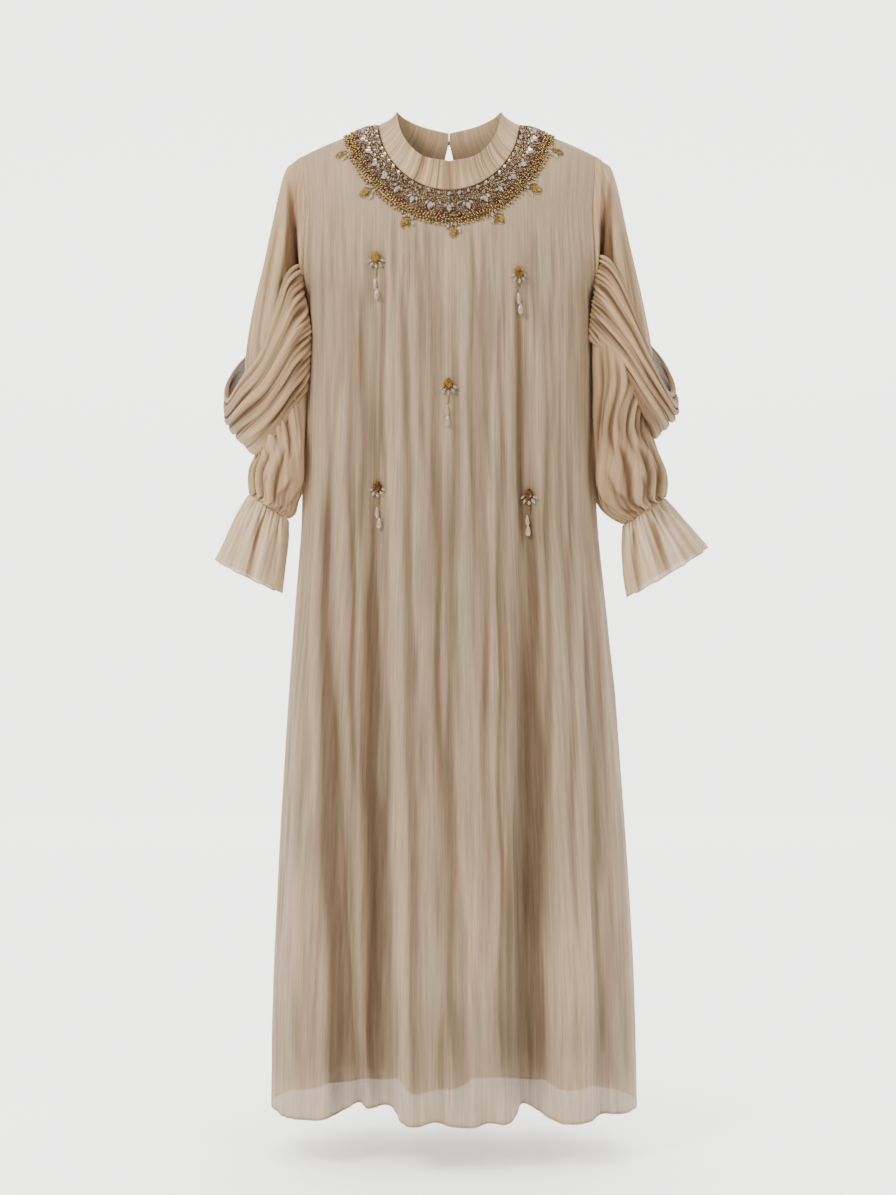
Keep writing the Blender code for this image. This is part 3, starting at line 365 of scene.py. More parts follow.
# Upper sleeve: row, outer point (x, z), inner point (x, z), half depth, pull of the deep
# fold, fit to the armhole
UPPER_SLEEVE = (
    (0, 0.2098, -0.0310, 0.2064, -0.2352, 0.0680, 0.00, 1.00),
    (1, 0.2160, -0.0345, 0.2082, -0.2378, 0.0685, 0.00, 0.55),
    (2, 0.2232, -0.0410, 0.2105, -0.2420, 0.0670, 0.34, 0.20),
    (3, 0.2320, -0.0490, 0.2130, -0.2460, 0.0670, 0.05, 0.00),
    (4, 0.2410, -0.0760, 0.2145, -0.2500, 0.0660, 0.00, 0.00),
    (5, 0.2520, -0.1250, 0.2130, -0.2540, 0.0650, 0.00, 0.00),
    (6, 0.2660, -0.1850, 0.2125, -0.2590, 0.0630, 0.00, 0.00),
    (7, 0.2800, -0.2500, 0.2122, -0.2650, 0.0595, 0.00, 0.00),
    (8, 0.2905, -0.3150, 0.2125, -0.2740, 0.0560, 0.00, 0.00),
    (9, 0.2920, -0.3560, 0.2135, -0.2880, 0.0545, 0.00, 0.00),
)
PULL_SPREAD = 1.6
BACK_PULL_SHARE = 0.6

# Lower sleeve: row, outer point (x, z), inner point (x, z), half depth, height of the
# folds, turn of the folds in degrees
LOWER_SLEEVE_RIGHT = (
    (-2, 0.2928, -0.3450, 0.2118, -0.2720, 0.0590, 0.0000, 0.0),
    (-1, 0.2940, -0.3560, 0.2116, -0.3200, 0.0560, 0.0003, 0.0),
    (0, 0.2945, -0.3680, 0.2130, -0.3650, 0.0530, 0.0006, 0.0),
    (1, 0.2880, -0.3950, 0.2130, -0.4020, 0.0500, 0.0012, 0.0),
    (2, 0.2885, -0.4250, 0.2125, -0.4320, 0.0520, 0.0022, 6.0),
    (3, 0.3000, -0.4550, 0.2125, -0.4650, 0.0580, 0.0034, 16.0),
    (4, 0.3095, -0.4800, 0.2130, -0.5000, 0.0600, 0.0036, 26.0),
    (5, 0.3115, -0.5010, 0.2190, -0.5320, 0.0560, 0.0034, 34.0),
    (6, 0.3095, -0.5165, 0.2320, -0.5470, 0.0460, 0.0026, 40.0),
    (7, 0.3070, -0.5211, 0.2510, -0.5576, 0.0330, 0.0012, 42.0),
)
LOWER_SLEEVE_LEFT = LOWER_SLEEVE_RIGHT[:3] + (
    (1, 0.2860, -0.4000, 0.2130, -0.4070, 0.0500, 0.0012, 0.0),
    (2, 0.2780, -0.4320, 0.2125, -0.4400, 0.0510, 0.0020, 8.0),
    (3, 0.2755, -0.4560, 0.2130, -0.4700, 0.0560, 0.0030, 20.0),
    (4, 0.2846, -0.4780, 0.2140, -0.5000, 0.0580, 0.0034, 30.0),
    (5, 0.2865, -0.4970, 0.2205, -0.5250, 0.0540, 0.0032, 38.0),
    (6, 0.2850, -0.5110, 0.2235, -0.5420, 0.0440, 0.0024, 44.0),
    (7, 0.2837, -0.5154, 0.2323, -0.5500, 0.0310, 0.0012, 46.0),
)
SLEEVE_FOLDS = 8

# Cuff ruffle: row, outer point (x, z), inner point (x, z), half depth, height of the waves
CUFF_RIGHT = (
    (0, 0.3072, -0.5214, 0.2512, -0.5579, 0.0330, 0.0012, 0.0),
    (1, 0.3275, -0.5470, 0.2520, -0.5900, 0.0410, 0.0045, 0.0),
    (2, 0.3480, -0.5720, 0.2555, -0.6250, 0.0490, 0.0065, 0.0),
    (3, 0.3660, -0.5950, 0.2620, -0.6585, 0.0550, 0.0080, 0.0),
)
CUFF_LEFT = (
    (0, 0.2839, -0.5157, 0.2325, -0.5503, 0.0310, 0.0012, 0.0),
    (1, 0.3000, -0.5450, 0.2345, -0.5850, 0.0370, 0.0040, 0.0),
    (2, 0.3155, -0.5800, 0.2390, -0.6200, 0.0430, 0.0056, 0.0),
    (3, 0.3300, -0.6120, 0.2450, -0.6540, 0.0480, 0.0070, 0.0),
)
CUFF_WAVES = 10
GATHER_WAVES = 34
GATHER_DRIFT = 2.2
GATHER_DRIFT_SPACING = 0.012
GATHER_CHANGE = 0.5
GATHER_SEAM_ROWS = 0.10
FOLDS_START_ROWS = 0.8
FOLDS_END_ROWS = 0.5
TUBE_MOST_SHADE = 0.9
SHADED_CALM = 0.9

# Set of the arm beside the body: height, shift to the front and inward at its inner side
ARM_SET = (
    (-0.700, 0.000, 0.0000),
    (-0.600, 0.004, 0.0000),
    (-0.555, 0.014, 0.0030),
    (-0.520, 0.028, 0.0080),
    (-0.470, 0.036, 0.0100),
    (-0.400, 0.036, 0.0098),
    (-0.330, 0.034, 0.0098),
    (-0.285, 0.030, 0.0086),
    (-0.255, 0.016, 0.0050),
    (-0.225, 0.000, 0.0000),
)
# Middle of the upper arm: height, distance from the middle
ARM_AXIS = (
    (-0.380, 0.250),
    (-0.250, 0.240),
    (-0.120, 0.224),
    (-0.030, 0.208),
)
ARM_RADIUS = 0.060
ARM_OUTER_X = 0.300
ARM_WIDTH = 0.0875
ARM_FRONT_Y = 0.012
ARM_FRONT_SPAN = 0.040

# Folds of a lower sleeve: angle at the top and at the wrist in degrees (0 is outside, 90 is
# the front), first row, last row, height (outward is positive), half width in degrees
SLEEVE_CREASES = (
    (30, 22, -1.9, 3.0, -0.0032, 6.0),
    (47, 40, -1.9, 3.6, -0.0038, 5.0),
    (62, 55, -1.9, 2.9, -0.0038, 4.4),
    (70, 64, -1.8, 3.8, 0.0022, 6.0),
    (81, 73, -1.9, 3.5, -0.0042, 4.6),
    (97, 91, -1.9, 2.7, -0.0032, 4.0),
    (104, 100, -1.7, 3.8, 0.0022, 6.0),
    (116, 110, -1.9, 3.7, -0.0038, 4.4),
    (134, 129, -1.9, 2.8, -0.0026, 4.0),
    (150, 143, -1.9, 3.4, -0.0034, 6.0),
    (22, 10, 1.8, 7.0, -0.0044, 5.0),
    (34, 21, 2.6, 7.0, 0.0024, 5.0),
    (42, 29, 2.0, 7.0, -0.0058, 4.5),
    (56, 40, 3.0, 7.0, -0.0040, 4.0),
    (64, 48, 1.9, 7.0, 0.0030, 6.0),
    (75, 56, 2.3, 7.0, -0.0066, 5.0),
    (88, 68, 3.5, 7.0, -0.0034, 4.0),
    (97, 76, 2.4, 7.0, 0.0032, 7.0),
    (111, 86, 2.0, 7.0, -0.0054, 5.5),
    (126, 98, 4.3, 7.0, -0.0030, 4.0),
    (140, 108, 3.4, 7.0, -0.0036, 5.0),
    (156, 120, 4.8, 7.0, -0.0026, 4.0),
    (170, 136, 3.8, 7.0, -0.0032, 5.0),
    (186, 160, 0.4, 7.0, -0.0030, 7.0),
    (206, 188, -1.6, 3.4, -0.0040, 6.0),
    (216, 200, 2.6, 7.0, -0.0040, 5.0),
    (230, 214, -1.8, 7.0, 0.0028, 7.0),
    (246, 230, -1.8, 2.8, -0.0050, 5.0),
    (250, 234, 2.2, 7.0, -0.0052, 5.0),
    (266, 252, 0.8, 7.0, 0.0030, 7.0),
    (284, 268, -1.7, 7.0, -0.0048, 5.5),
    (304, 288, -0.2, 6.6, 0.0028, 7.0),
    (322, 306, -1.7, 7.0, -0.0046, 5.5),
    (346, 332, 0.6, 7.0, -0.0034, 6.0),
)
FOLD_SWING = 9.0
FOLD_END = 1.6
WAVE_SHARE = 0.45

# Folds of an upper sleeve, with the same columns, down from the armhole
UPPER_CREASES = (
    (12, 26, 4.0, 9.0, -0.0016, 6.0),
    (30, 44, 3.2, 9.0, 0.0018, 7.0),
    (46, 64, 4.4, 9.0, -0.0022, 6.0),
    (64, 86, 3.0, 8.4, 0.0018, 8.0),
    (86, 108, 2.8, 9.0, -0.0034, 8.0),
    (112, 130, 3.6, 9.0, 0.0020, 7.0),
    (136, 150, 3.0, 9.0, -0.0026, 7.0),
    (176, 184, 3.4, 9.0, -0.0020, 8.0),
    (214, 226, 3.0, 9.0, -0.0026, 7.0),
    (240, 256, 3.6, 9.0, 0.0020, 7.0),
    (268, 282, 2.8, 9.0, -0.0030, 8.0),
    (296, 312, 3.4, 9.0, 0.0018, 7.0),
    (318, 336, 4.0, 9.0, -0.0020, 7.0),
)

# Folds of a cuff ruffle, with the same columns, down from the wrist
CUFF_CREASES = (
    (24, 20, 0.1, 3.0, -0.0022, 4.0),
    (47, 52, 0.0, 2.4, 0.0018, 4.0),
    (61, 63, 0.2, 3.0, -0.0020, 4.0),
    (83, 92, 0.0, 3.0, -0.0026, 5.0),
    (117, 112, 0.1, 3.0, 0.0018, 4.0),
    (133, 140, 0.0, 3.0, -0.0022, 5.0),
    (196, 190, 0.1, 3.0, -0.0020, 5.0),
    (238, 245, 0.0, 3.0, -0.0022, 4.0),
    (276, 270, 0.1, 3.0, 0.0018, 4.0),
    (304, 312, 0.0, 3.0, -0.0022, 5.0),
)

# Sling of the sleeve, from the front gather round the outside to the back gather: place,
# rim point (x, y, z), lower edge point (x, y, z), bulge, height of the pleats
SLING_RIGHT = (
    (-1, 0.2068, -0.0400, -0.178, 0.2090, -0.0200, -0.300, 0.000, 0.0012),
    (0, 0.2078, -0.0520, -0.178, 0.2100, -0.0460, -0.300, 0.003, 0.0018),
    (1, 0.2280, -0.0700, -0.192, 0.2305, -0.0640, -0.328, 0.008, 0.0020),
    (2, 0.2534, -0.0780, -0.2405, 0.2540, -0.0660, -0.358, 0.012, 0.0018),
    (3, 0.2777, -0.0740, -0.303, 0.2720, -0.0580, -0.388, 0.014, 0.0015),
    (4, 0.3000, -0.0520, -0.354, 0.2890, -0.0420, -0.414, 0.016, 0.0012),
    (5, 0.3165, -0.0180, -0.3725, 0.2985, -0.0150, -0.431, 0.016, 0.0010),
    (6, 0.3250, 0.0180, -0.360, 0.2995, 0.0150, -0.428, 0.016, 0.0011),
    (7, 0.3120, 0.0520, -0.322, 0.2900, 0.0420, -0.408, 0.016, 0.0013),
    (8, 0.2840, 0.0730, -0.284, 0.2720, 0.0590, -0.380, 0.014, 0.0015),
    (9, 0.2520, 0.0770, -0.236, 0.2520, 0.0660, -0.350, 0.012, 0.0018),
    (10, 0.2270, 0.0730, -0.200, 0.2320, 0.0660, -0.318, 0.008, 0.0018),
    (11, 0.2095, 0.0655, -0.186, 0.2120, 0.0560, -0.286, 0.004, 0.0016),
    (12, 0.2085, 0.0640, -0.186, 0.2110, 0.0240, -0.286, 0.000, 0.0012),
)
SLING_LEFT = (
    (-1, 0.2068, -0.0400, -0.190, 0.2105, -0.0200, -0.366, 0.000, 0.0014),
    (0, 0.2078, -0.0510, -0.190, 0.2110, -0.0460, -0.372, 0.005, 0.0020),
    (1, 0.2250, -0.0720, -0.2065, 0.2260, -0.0630, -0.398, 0.008, 0.0022),
    (2, 0.2420, -0.0770, -0.250, 0.2400, -0.0680, -0.421, 0.012, 0.0020),
    (3, 0.2640, -0.0750, -0.311, 0.2550, -0.0640, -0.437, 0.016, 0.0016),
    (4, 0.2914, -0.0560, -0.350, 0.2690, -0.0500, -0.448, 0.018, 0.0013),
    (5, 0.3150, -0.0200, -0.381, 0.2840, -0.0180, -0.4535, 0.016, 0.0011),
    (6, 0.3215, 0.0160, -0.360, 0.2865, 0.0160, -0.450, 0.016, 0.0012),
    (7, 0.3097, 0.0500, -0.3313, 0.2770, 0.0450, -0.436, 0.016, 0.0014),
    (8, 0.2840, 0.0710, -0.300, 0.2600, 0.0600, -0.415, 0.014, 0.0018),
    (9, 0.2520, 0.0770, -0.250, 0.2440, 0.0660, -0.395, 0.012, 0.0020),
    (10, 0.2270, 0.0720, -0.212, 0.2280, 0.0640, -0.380, 0.008, 0.0022),
    (11, 0.2095, 0.0640, -0.196, 0.2130, 0.0500, -0.350, 0.006, 0.0020),
    (12, 0.2085, 0.0625, -0.196, 0.2120, 0.0200, -0.345, 0.000, 0.0014),
)

# Shade of the flat cloth on the arms; one arm hangs more in its own shade than the other
UPPER_SHADE = 0.04
LOWER_SHADE = {"right": 0.26, "left": 0.05}
CUFF_SHADE = 0.06
SLING_SHADE = {"right": 0.60, "left": 0.48}
SLING_SHADE_DEPTH = 0.0040
SLING_MOST_SHADE = 0.95

# Form of a sling: its swell, its pleats beside the gathers (in places along it), its rolled
# edges and how far its folds wander
SLING_CENTRE_X = 0.258
SLING_FORWARD = 0.15
SLING_SWELL_DEPTH_SHARE = 0.8
SLING_PLEATS = 17
SLING_PLEAT_REACH = 1.5
SLING_PLEAT_HEIGHT = 1.2
SLING_PLEAT_WANDER = 0.030
SLING_GATHER_PLACES = 0.5
SLING_GATHER_SHARE = 0.45
SLING_ROLL = 0.0050
SLING_RIM_ROLL = 0.0024
SLING_ROLL_SHARE = 0.07
SLING_ROLL_PLACES = 1.4
SLING_FOLD_WANDER = 0.010
SLING_FOLD_PLACES = 0.9
# Slow changes over a sling as waves: size, radians per place along, radians across, start
PLEAT_DRIFT = ((1.0, 0.9, 11.0, 0.0), (0.5, 1.7, 23.0, 1.0))
PLEAT_CHANGE = ((0.45, 0.6, 37.0, 0.0),)
# Sheer back half of a sling: places past its middle, its rise, its end and its fall
SLING_SHEER_START = -0.2
SLING_SHEER_RISE = 1.6
SLING_SHEER_END = 0.4
SLING_SHEER_FALL = 1.2

# Folds of a sling: place across it (0 at the rim, 1 at the lower edge) at the front gather,
# half way down the front, at the outside, half way down the back and at the back gather,
# height (outward is positive), half width as a share
SLING_FOLDS = (
    (0.04, 0.040, 0.040, 0.040, 0.04, 0.0012, 0.040),
    (0.10, 0.096, 0.084, 0.094, 0.10, -0.0030, 0.016),
    (0.19, 0.150, 0.130, 0.150, 0.19, -0.0010, 0.010),
    (0.22, 0.215, 0.235, 0.220, 0.23, 0.0022, 0.065),
    (0.27, 0.250, 0.205, 0.240, 0.27, -0.0010, 0.009),
    (0.32, 0.310, 0.345, 0.315, 0.32, -0.0040, 0.021),
    (0.39, 0.345, 0.375, 0.350, 0.38, -0.0010, 0.009),
    (0.43, 0.425, 0.450, 0.425, 0.42, 0.0026, 0.060),
    (0.47, 0.455, 0.430, 0.455, 0.47, -0.0012, 0.010),
    (0.54, 0.520, 0.545, 0.520, 0.53, -0.0034, 0.024),
    (0.60, 0.570, 0.575, 0.570, 0.60, -0.0010, 0.009),
    (0.64, 0.625, 0.640, 0.625, 0.64, 0.0022, 0.045),
    (0.70, 0.680, 0.715, 0.680, 0.69, -0.0038, 0.017),
    (0.76, 0.715, 0.745, 0.720, 0.76, -0.0012, 0.009),
    (0.81, 0.790, 0.810, 0.790, 0.81, 0.0022, 0.055),
    (0.88, 0.850, 0.880, 0.855, 0.88, -0.0028, 0.018),
    (0.94, 0.905, 0.925, 0.910, 0.93, -0.0012, 0.010),
)
SLING_STATIONS = (0.0, 0.27, 0.5, 0.73, 1.0)

# Cloth of the sleeves and cuffs: crinkles, how far the folds last at the end, fold height of
# full shade, reach of the gathers in rows (negative: up from the last row), their height,
# swing of the folds in degrees, shade of the edge, share of sheerness, and whether the
# crinkles hang plumb from the shoulder
UPPER_SLEEVE_CLOTH = {
    "crinkles": UPPER_SLEEVE_CRINKLES, "end": 0.4, "shade": 0.0045, "gathers": 0.0,
    "gather": 0.0, "swing": 0.0, "edge": 0.0, "sheer": 0.0, "plumb": True,
}
LOWER_SLEEVE_CLOTH = {
    "crinkles": LOWER_SLEEVE_CRINKLES, "end": 0.0, "shade": 0.0060, "gathers": -1.0,
    "gather": 0.0018, "swing": FOLD_SWING, "edge": 0.0, "sheer": 0.0, "plumb": False,
}
CUFF_CLOTH = {
    "crinkles": CUFF_CRINKLES, "end": 1.0, "shade": 0.0042, "gathers": 1.2,
    "gather": 0.0021, "swing": 0.0, "edge": 0.5, "sheer": 1.0, "plumb": False,
}
CUFF_EDGE_ROWS = 0.06
CUFF_TOP_SHEER = 0.35
CUFF_SHEER_ROW = 1.6
CUFF_SHEER_ROWS = 1.4

# Deep fold beside the armhole: height it starts at, length, distance from the middle and its
# drift, half width and its growth, soft edge, share of shade at the top and at the back
ARMHOLE_FOLD_START = -0.062
ARMHOLE_FOLD_LENGTH = 0.120
ARMHOLE_FOLD_X = 0.2275
ARMHOLE_FOLD_DRIFT = 0.0050
ARMHOLE_FOLD_HALF_WIDTH = 0.0008
ARMHOLE_FOLD_GROWTH = 0.0070
ARMHOLE_FOLD_SOFT = 0.0055
ARMHOLE_FOLD_EDGE = 0.0030
ARMHOLE_FOLD_TOP_SHARE = 0.45
ARMHOLE_FOLD_BACK_SHARE = 0.7

# Fineness of the cloth: columns and rows of points
FRONT_COLUMNS = 256
BACK_COLUMNS = 152
YOKE_STEPS = 5
ARMHOLE_STEPS = 6
SKIRT_STEPS = 20
SLEEVE_COLUMNS = 144
LOWER_COLUMNS = 216
SLEEVE_STEPS = 9
CUFF_COLUMNS = 240
CUFF_STEPS = 12
SLING_ALONG = 110
SLING_ACROSS = 140
COLLAR_COLUMNS = 860
COLLAR_STEPS = 18

# Camera of the photograph
IMAGE_WIDTH = 896
IMAGE_HEIGHT = 1195
METRES_PER_PIXEL = 0.001434
EYE_DISTANCE = 3.4
EYE_HEIGHT = -0.55
SENSOR = 36.0
ORIGIN_PIXEL_X = 449
ORIGIN_PIXEL_Y = 135

# Studio
WORLD_STRENGTH = 0.50
FLOOR_HEIGHT = -1.456
SWEEP_FRONT = -5.0
SWEEP_BACK = 3.6
SWEEP_RADIUS = 1.6
SWEEP_RISE = 3.0
SWEEP_HALF_WIDTH = 6.0
STAGE_GLOW = 2.9
GLOW_START = -1.0
GLOW_FULL = -0.3
# Reach of the painted shadow that darkens the floor's glow beneath the garment
SHADOW_REACH = 0.45
WARM_WHITE = (1.0, 0.985, 0.96)
WHITE = (1.0, 1.0, 1.0)
# Lamps: name, place, point it faces, size, power, colour
LAMPS = (
    ("key", (-1.5, -1.9, 1.30), (0.0, 0.0, -0.6), 0.9, 84.0, WARM_WHITE),
    ("fill", (1.6, -1.8, 1.30), (0.0, 0.0, -0.2), 0.9, 30.0, WARM_WHITE),
    ("top", (0.2, 0.5, 2.4), (0.0, 0.0, -0.6), 1.6, 36.0, WHITE),
)

QUARTER = math.pi / 2.0
UPWARD = np.array((0.0, 0.0, 1.0))
LEVEL = np.array((1.0, 1.0, 0.0))


def follow(rows, at, column):
    """Smooth values of a table's column, where its first column runs one way."""
    keys = np.array([row[0] for row in rows], dtype=float)
    values = np.array([row[column] for row in rows], dtype=float)
    if keys[0] > keys[-1]:
        keys = keys[::-1]
        values = values[::-1]
    at = np.clip(at, keys[0], keys[-1])
    place = np.clip(np.searchsorted(keys, at, side="right") - 1, 0, len(keys) - 2)
    low = np.maximum(place - 1, 0)
    high = np.minimum(place + 2, len(keys) - 1)
    span = keys[place + 1] - keys[place]
    share = (at - keys[place]) / span
    first = (values[place + 1] - values[low]) / (keys[place + 1] - keys[low]) * span
    second = (values[high] - values[place]) / (keys[high] - keys[place]) * span
    square = share * share
    cube = square * share
    return (
        (2.0 * cube - 3.0 * square + 1.0) * values[place]
        + (cube - 2.0 * square + share) * first
        + (3.0 * square - 2.0 * cube) * values[place + 1]
        + (cube - square) * second
    )


def smooth(value):
    value = np.clip(value, 0.0, 1.0)
    return value * value * (3.0 - 2.0 * value)


def along(values):
    """Length from the first point to each point of a line of points."""
    steps = np.linalg.norm(np.diff(values, axis=0), axis=1)
    return np.concatenate(([0.0], np.cumsum(steps)))


def unit(values):
    return values / np.linalg.norm(values, axis=-1, keepdims=True)


def shoulder_height(x):
    seam = follow(SHOULDER_SEAM, np.abs(x), 1)
    return np.where(np.abs(x) < NECK_HALF_WIDTH, NECK_TOP_HEIGHT, seam)


def section_share(x, z, width):
    """Depth at x as a share of the depth at the middle."""
    drop = (WIDEST_ARMHOLE_HEIGHT - z) / (WIDEST_ARMHOLE_HEIGHT - UNDERARM_HEIGHT)
    drop = np.clip(drop, 0.0, 1.0)
    armhole = ARMHOLE_REACH * np.sqrt(1.0 - drop * drop)
    reach = width / (1.0 - armhole**SECTION_POWER) ** (1.0 / SECTION_POWER)
    part = np.minimum(np.abs(x) / reach, 1.0)
    return (1.0 - part**SECTION_POWER) ** (1.0 / SECTION_POWER)


def fold_push(folds, x, z, width):
    total = np.zeros_like(x)
    for high_x, hem_x, start, depth, half_width in folds:
        grown = np.clip((start - z) / (start - HEM_HEIGHT), 0.0, None)
        down = np.clip((FOLD_HIGH - z) / (FOLD_HIGH - HEM_HEIGHT), 0.0, 1.0)
        middle = high_x + (hem_x - high_x) * down
        spread = half_width * (FOLD_START_WIDTH + (1.0 - FOLD_START_WIDTH) * grown)
        away = (x - middle) / spread
        total += depth * grown**FOLD_GROWTH * np.exp(-away * away)
    calm = (1.0 - np.abs(x) / width) / (1.0 - SIDE_CALM)
    return total * np.clip(calm, 0.0, 1.0)


def plain_panel(facing, row, angle, folds):
    """Points of the front (facing -1) or back (facing 1) before its small creases."""
    end_z = follow(PANEL_ROWS, row, 1)
    middle_z = follow(PANEL_ROWS, row, 2 if facing < 0.0 else 3)
    power = follow(PANEL_ROWS, row, 4)
    row_width = follow(BODY, end_z, 1)
    end_x = np.where(row < SHOULDER_ROW, follow(SHOULDER_ENDS, row, 1), row_width)
    z = end_z - (end_z - middle_z) * np.clip(np.cos(angle), 0.0, None) ** power
    x = end_x * np.sin(angle)
    width = follow(BODY, z, 1)
    beside_arm = (row >= SHOULDER_ROW) & (row < UNDERARM_ROW)
    x = np.where(beside_arm, x * np.minimum(width / row_width, 1.0), x)
    depth = follow(BODY, z, 2 if facing < 0.0 else 3)
    share = section_share(x, z, width)
    drop = np.clip((shoulder_height(x) - z) / SHOULDER_ROUNDING, 0.0, 1.0)
    y = depth * share * np.sqrt(1.0 - (1.0 - drop) ** 2)
    push = fold_push(folds, x, z, width)
    side = x / width * depth / width
    ahead = np.maximum(share, LEAST_PUSH_AHEAD)
    length = np.hypot(side, ahead)
    lean = follow(BODY, z, 4)
    z = z - HEM_LIFT_IN_FOLDS * np.minimum(push, 0.0) * smooth(row - HEM_LIFT_FIRST_ROW)
    return np.stack(
        (x + lean + push * side / length, facing * (y + push * ahead / length), z), axis=-1
    ), push


def panel(facing, row, angle, folds):
    """Points of a panel, its neckline brought onto the collar's oval."""
    row, angle = np.broadcast_arrays(np.asarray(row, float), np.asarray(angle, float))
    points, push = plain_panel(facing, row, angle, folds)
    top, _ = plain_panel(facing, np.zeros_like(row), angle, folds)
    neck_depth = NECK_FRONT_DEPTH if facing < 0.0 else NECK_BACK_DEPTH
    oval = facing * neck_depth * np.clip(np.cos(angle), 0.0, None)
    hold = np.clip(follow(PANEL_ROWS, row, 5), 0.0, 1.0)
    points[..., 1] += (oval - top[..., 1]) * hold
    return points, push


def normals_of(points, inside=None):
    """Normals of a grid of points, turned away from the points inside it or the middle line."""
    if inside is None:
        inside = points * UPWARD
    down = np.gradient(points, axis=0)
    across = np.gradient(points, axis=1)
    normal = np.cross(across, down)
    normal /= np.maximum(np.linalg.norm(normal, axis=-1, keepdims=True), 1e-12)
    if np.sum(normal * (points - inside)) < 0.0:
        normal = -normal
    return normal


def creases(table, x, z):
    """Height of the listed creases of a panel."""
    total = np.zeros_like(x)
    for number, (top_x, low_x, top, bottom, height, half_width) in enumerate(table):
        down = np.clip((top - z) / (top - bottom), 0.0, 1.0)
        wander = CREASE_WANDER * np.sin(z / CREASE_WANDER_LENGTH * math.tau + number)
        away = (x - top_x - (low_x - top_x) * down - wander) / half_width
        ends = smooth((top - z) / CREASE_TAPER) * smooth((z - bottom) / CREASE_TAPER + 0.3)
        total += height * ends * np.exp(-away * away)
    return total


def round_creases(table, angle, row, swing):
    """Height of the listed folds of a sleeve or cuff, angle in degrees."""
    total = np.zeros_like(angle)
    final = np.max(row)
    for top, low, first, last, height, half_width in table:
        down = np.clip((row - first) / (last - first), 0.0, 1.0)
        middle = top + (low - top) * smooth(down) - swing * np.sin(math.tau * down)
        away = (angle - middle + 180.0) % 360.0 - 180.0
        ends = smooth((row - first) / (0.25 * (last - first)))
        ends = ends * smooth((last - row) / FOLD_END + (last >= final))
        total += height * ends * np.exp(-((away / half_width) ** 2))
    return total


def crinkle(across, down, spacing, length, seed, around=None):
    """Uneven crinkles of crinkled chiffon, from -1 to 1, long along the cloth."""
    random = np.random.default_rng(seed)
    columns = int(np.max(across) / spacing) + 3
    rows = int(np.max(down) / length) + 3
    if around is not None:
        columns = max(int(round(around / spacing)), 3)
        across = across * columns * spacing / around
    lattice = random.uniform(-1.0, 1.0, (rows, columns))
    u = across / spacing
    v = down / length
    u += CRINKLE_DRIFT * np.sin(v * 1.7 + seed)
    column = np.floor(u).astype(int)
    line = np.clip(np.floor(v).astype(int), 0, rows - 2)
    part_u = smooth(u - column)
    part_v = smooth(v - line)
    left = column % columns
    right = (column + 1) % columns
    upper = lattice[line, left] * (1.0 - part_u) + lattice[line, right] * part_u
    lower = lattice[line + 1, left] * (1.0 - part_u) + lattice[line + 1, right] * part_u
    return upper * (1.0 - part_v) + lower * part_v


def crinkles(across, down, layers, seed, around=None):
    """Height of all the layers of crinkles."""
    return sum(
        crinkle(across, down, spacing, length, seed + number, around) * height
        for number, (spacing, length, height) in enumerate(layers)
    )


def closed(grid):
    """A ring's grid with its first column repeated at the end."""
    return np.concatenate((grid, grid[:, :1]), axis=1)


def mesh_through(points):
    bm = bmesh.new()
    rows, columns = points.shape[:2]
    bmesh.ops.create_grid(bm, x_segments=columns - 1, y_segments=rows - 1, size=0.5)
    bm.verts.index_update()
    place = points.reshape(-1, 3)
    for vert in bm.verts:
        vert.co = place[vert.index]
    return bm


def cloth(name, points, flat, marks, outward, thickness, ring=False, skip=None):
    """Thin shell of cloth through a grid of points, with its flat (across, down) as a UV map."""
    if ring:
        points = closed(points)
        outward = closed(outward)
        marks = {key: closed(value) for key, value in marks.items()}
    rows, columns = points.shape[:2]
    sides = [np.broadcast_to(side, (rows, columns)) for side in flat]
    flat = np.stack(sides, axis=-1).reshape(-1, 2)
    bm = mesh_through(points)
    uv = bm.loops.layers.uv.new("cloth")
    for face in bm.faces:
        for loop in face.loops:
            loop[uv].uv = flat[loop.vert.index]
    for key, value in marks.items():
        layer = bm.verts.layers.float.new(key)
        values = value.reshape(-1)
        for vert in bm.verts:
            vert[layer] = values[vert.index]
    bm.normal_update()
    facing = outward.reshape(-1, 3)
    total = sum(vert.normal.dot(Vector(facing[vert.index])) for vert in bm.verts)
    if total < 0.0:
        bmesh.ops.reverse_faces(bm, faces=bm.faces[:])
    if skip is not None:
        hidden = [
            face
            for face in bm.faces
            if all(skip(*divmod(vert.index, columns)) for vert in face.verts)
        ]
        bmesh.ops.delete(bm, geom=hidden, context="FACES")
    if ring:
        bmesh.ops.remove_doubles(bm, verts=bm.verts[:], dist=0.000001)
    piece = finished(bm, name, True)
    wall = piece.modifiers.new("wall", "SOLIDIFY")
    wall.thickness = thickness
    wall.offset = -1.0
    return piece


def finished(bm, name, smooth_faces=False):
    for face in bm.faces:
        face.smooth = smooth_faces
    mesh = bpy.data.meshes.new(name)
    bm.to_mesh(mesh)
    bm.free()
    piece = bpy.data.objects.new(name, mesh)
    bpy.context.scene.collection.objects.link(piece)
    return piece


def dress(piece, material, slot, *nodes):
    """Gives a piece its material, hangs it from the root and hides the imported parts that it
    stands for.
    """
    materials = material if isinstance(material, (list, tuple)) else [material]
    for item in materials:
        piece.data.materials.append(item)
    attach(piece, "root")
    if nodes:
        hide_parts(*nodes)
    return piece


def linear(hex_colour):
    """Linear colour of an sRGB hex colour such as c4b09a."""
    parts = [int(hex_colour[place:place + 2], 16) / 255.0 for place in (0, 2, 4)]
    return tuple(
        part / 12.92 if part <= 0.04045 else ((part + 0.055) / 1.055) ** 2.4
        for part in parts
    ) + (1.0,)


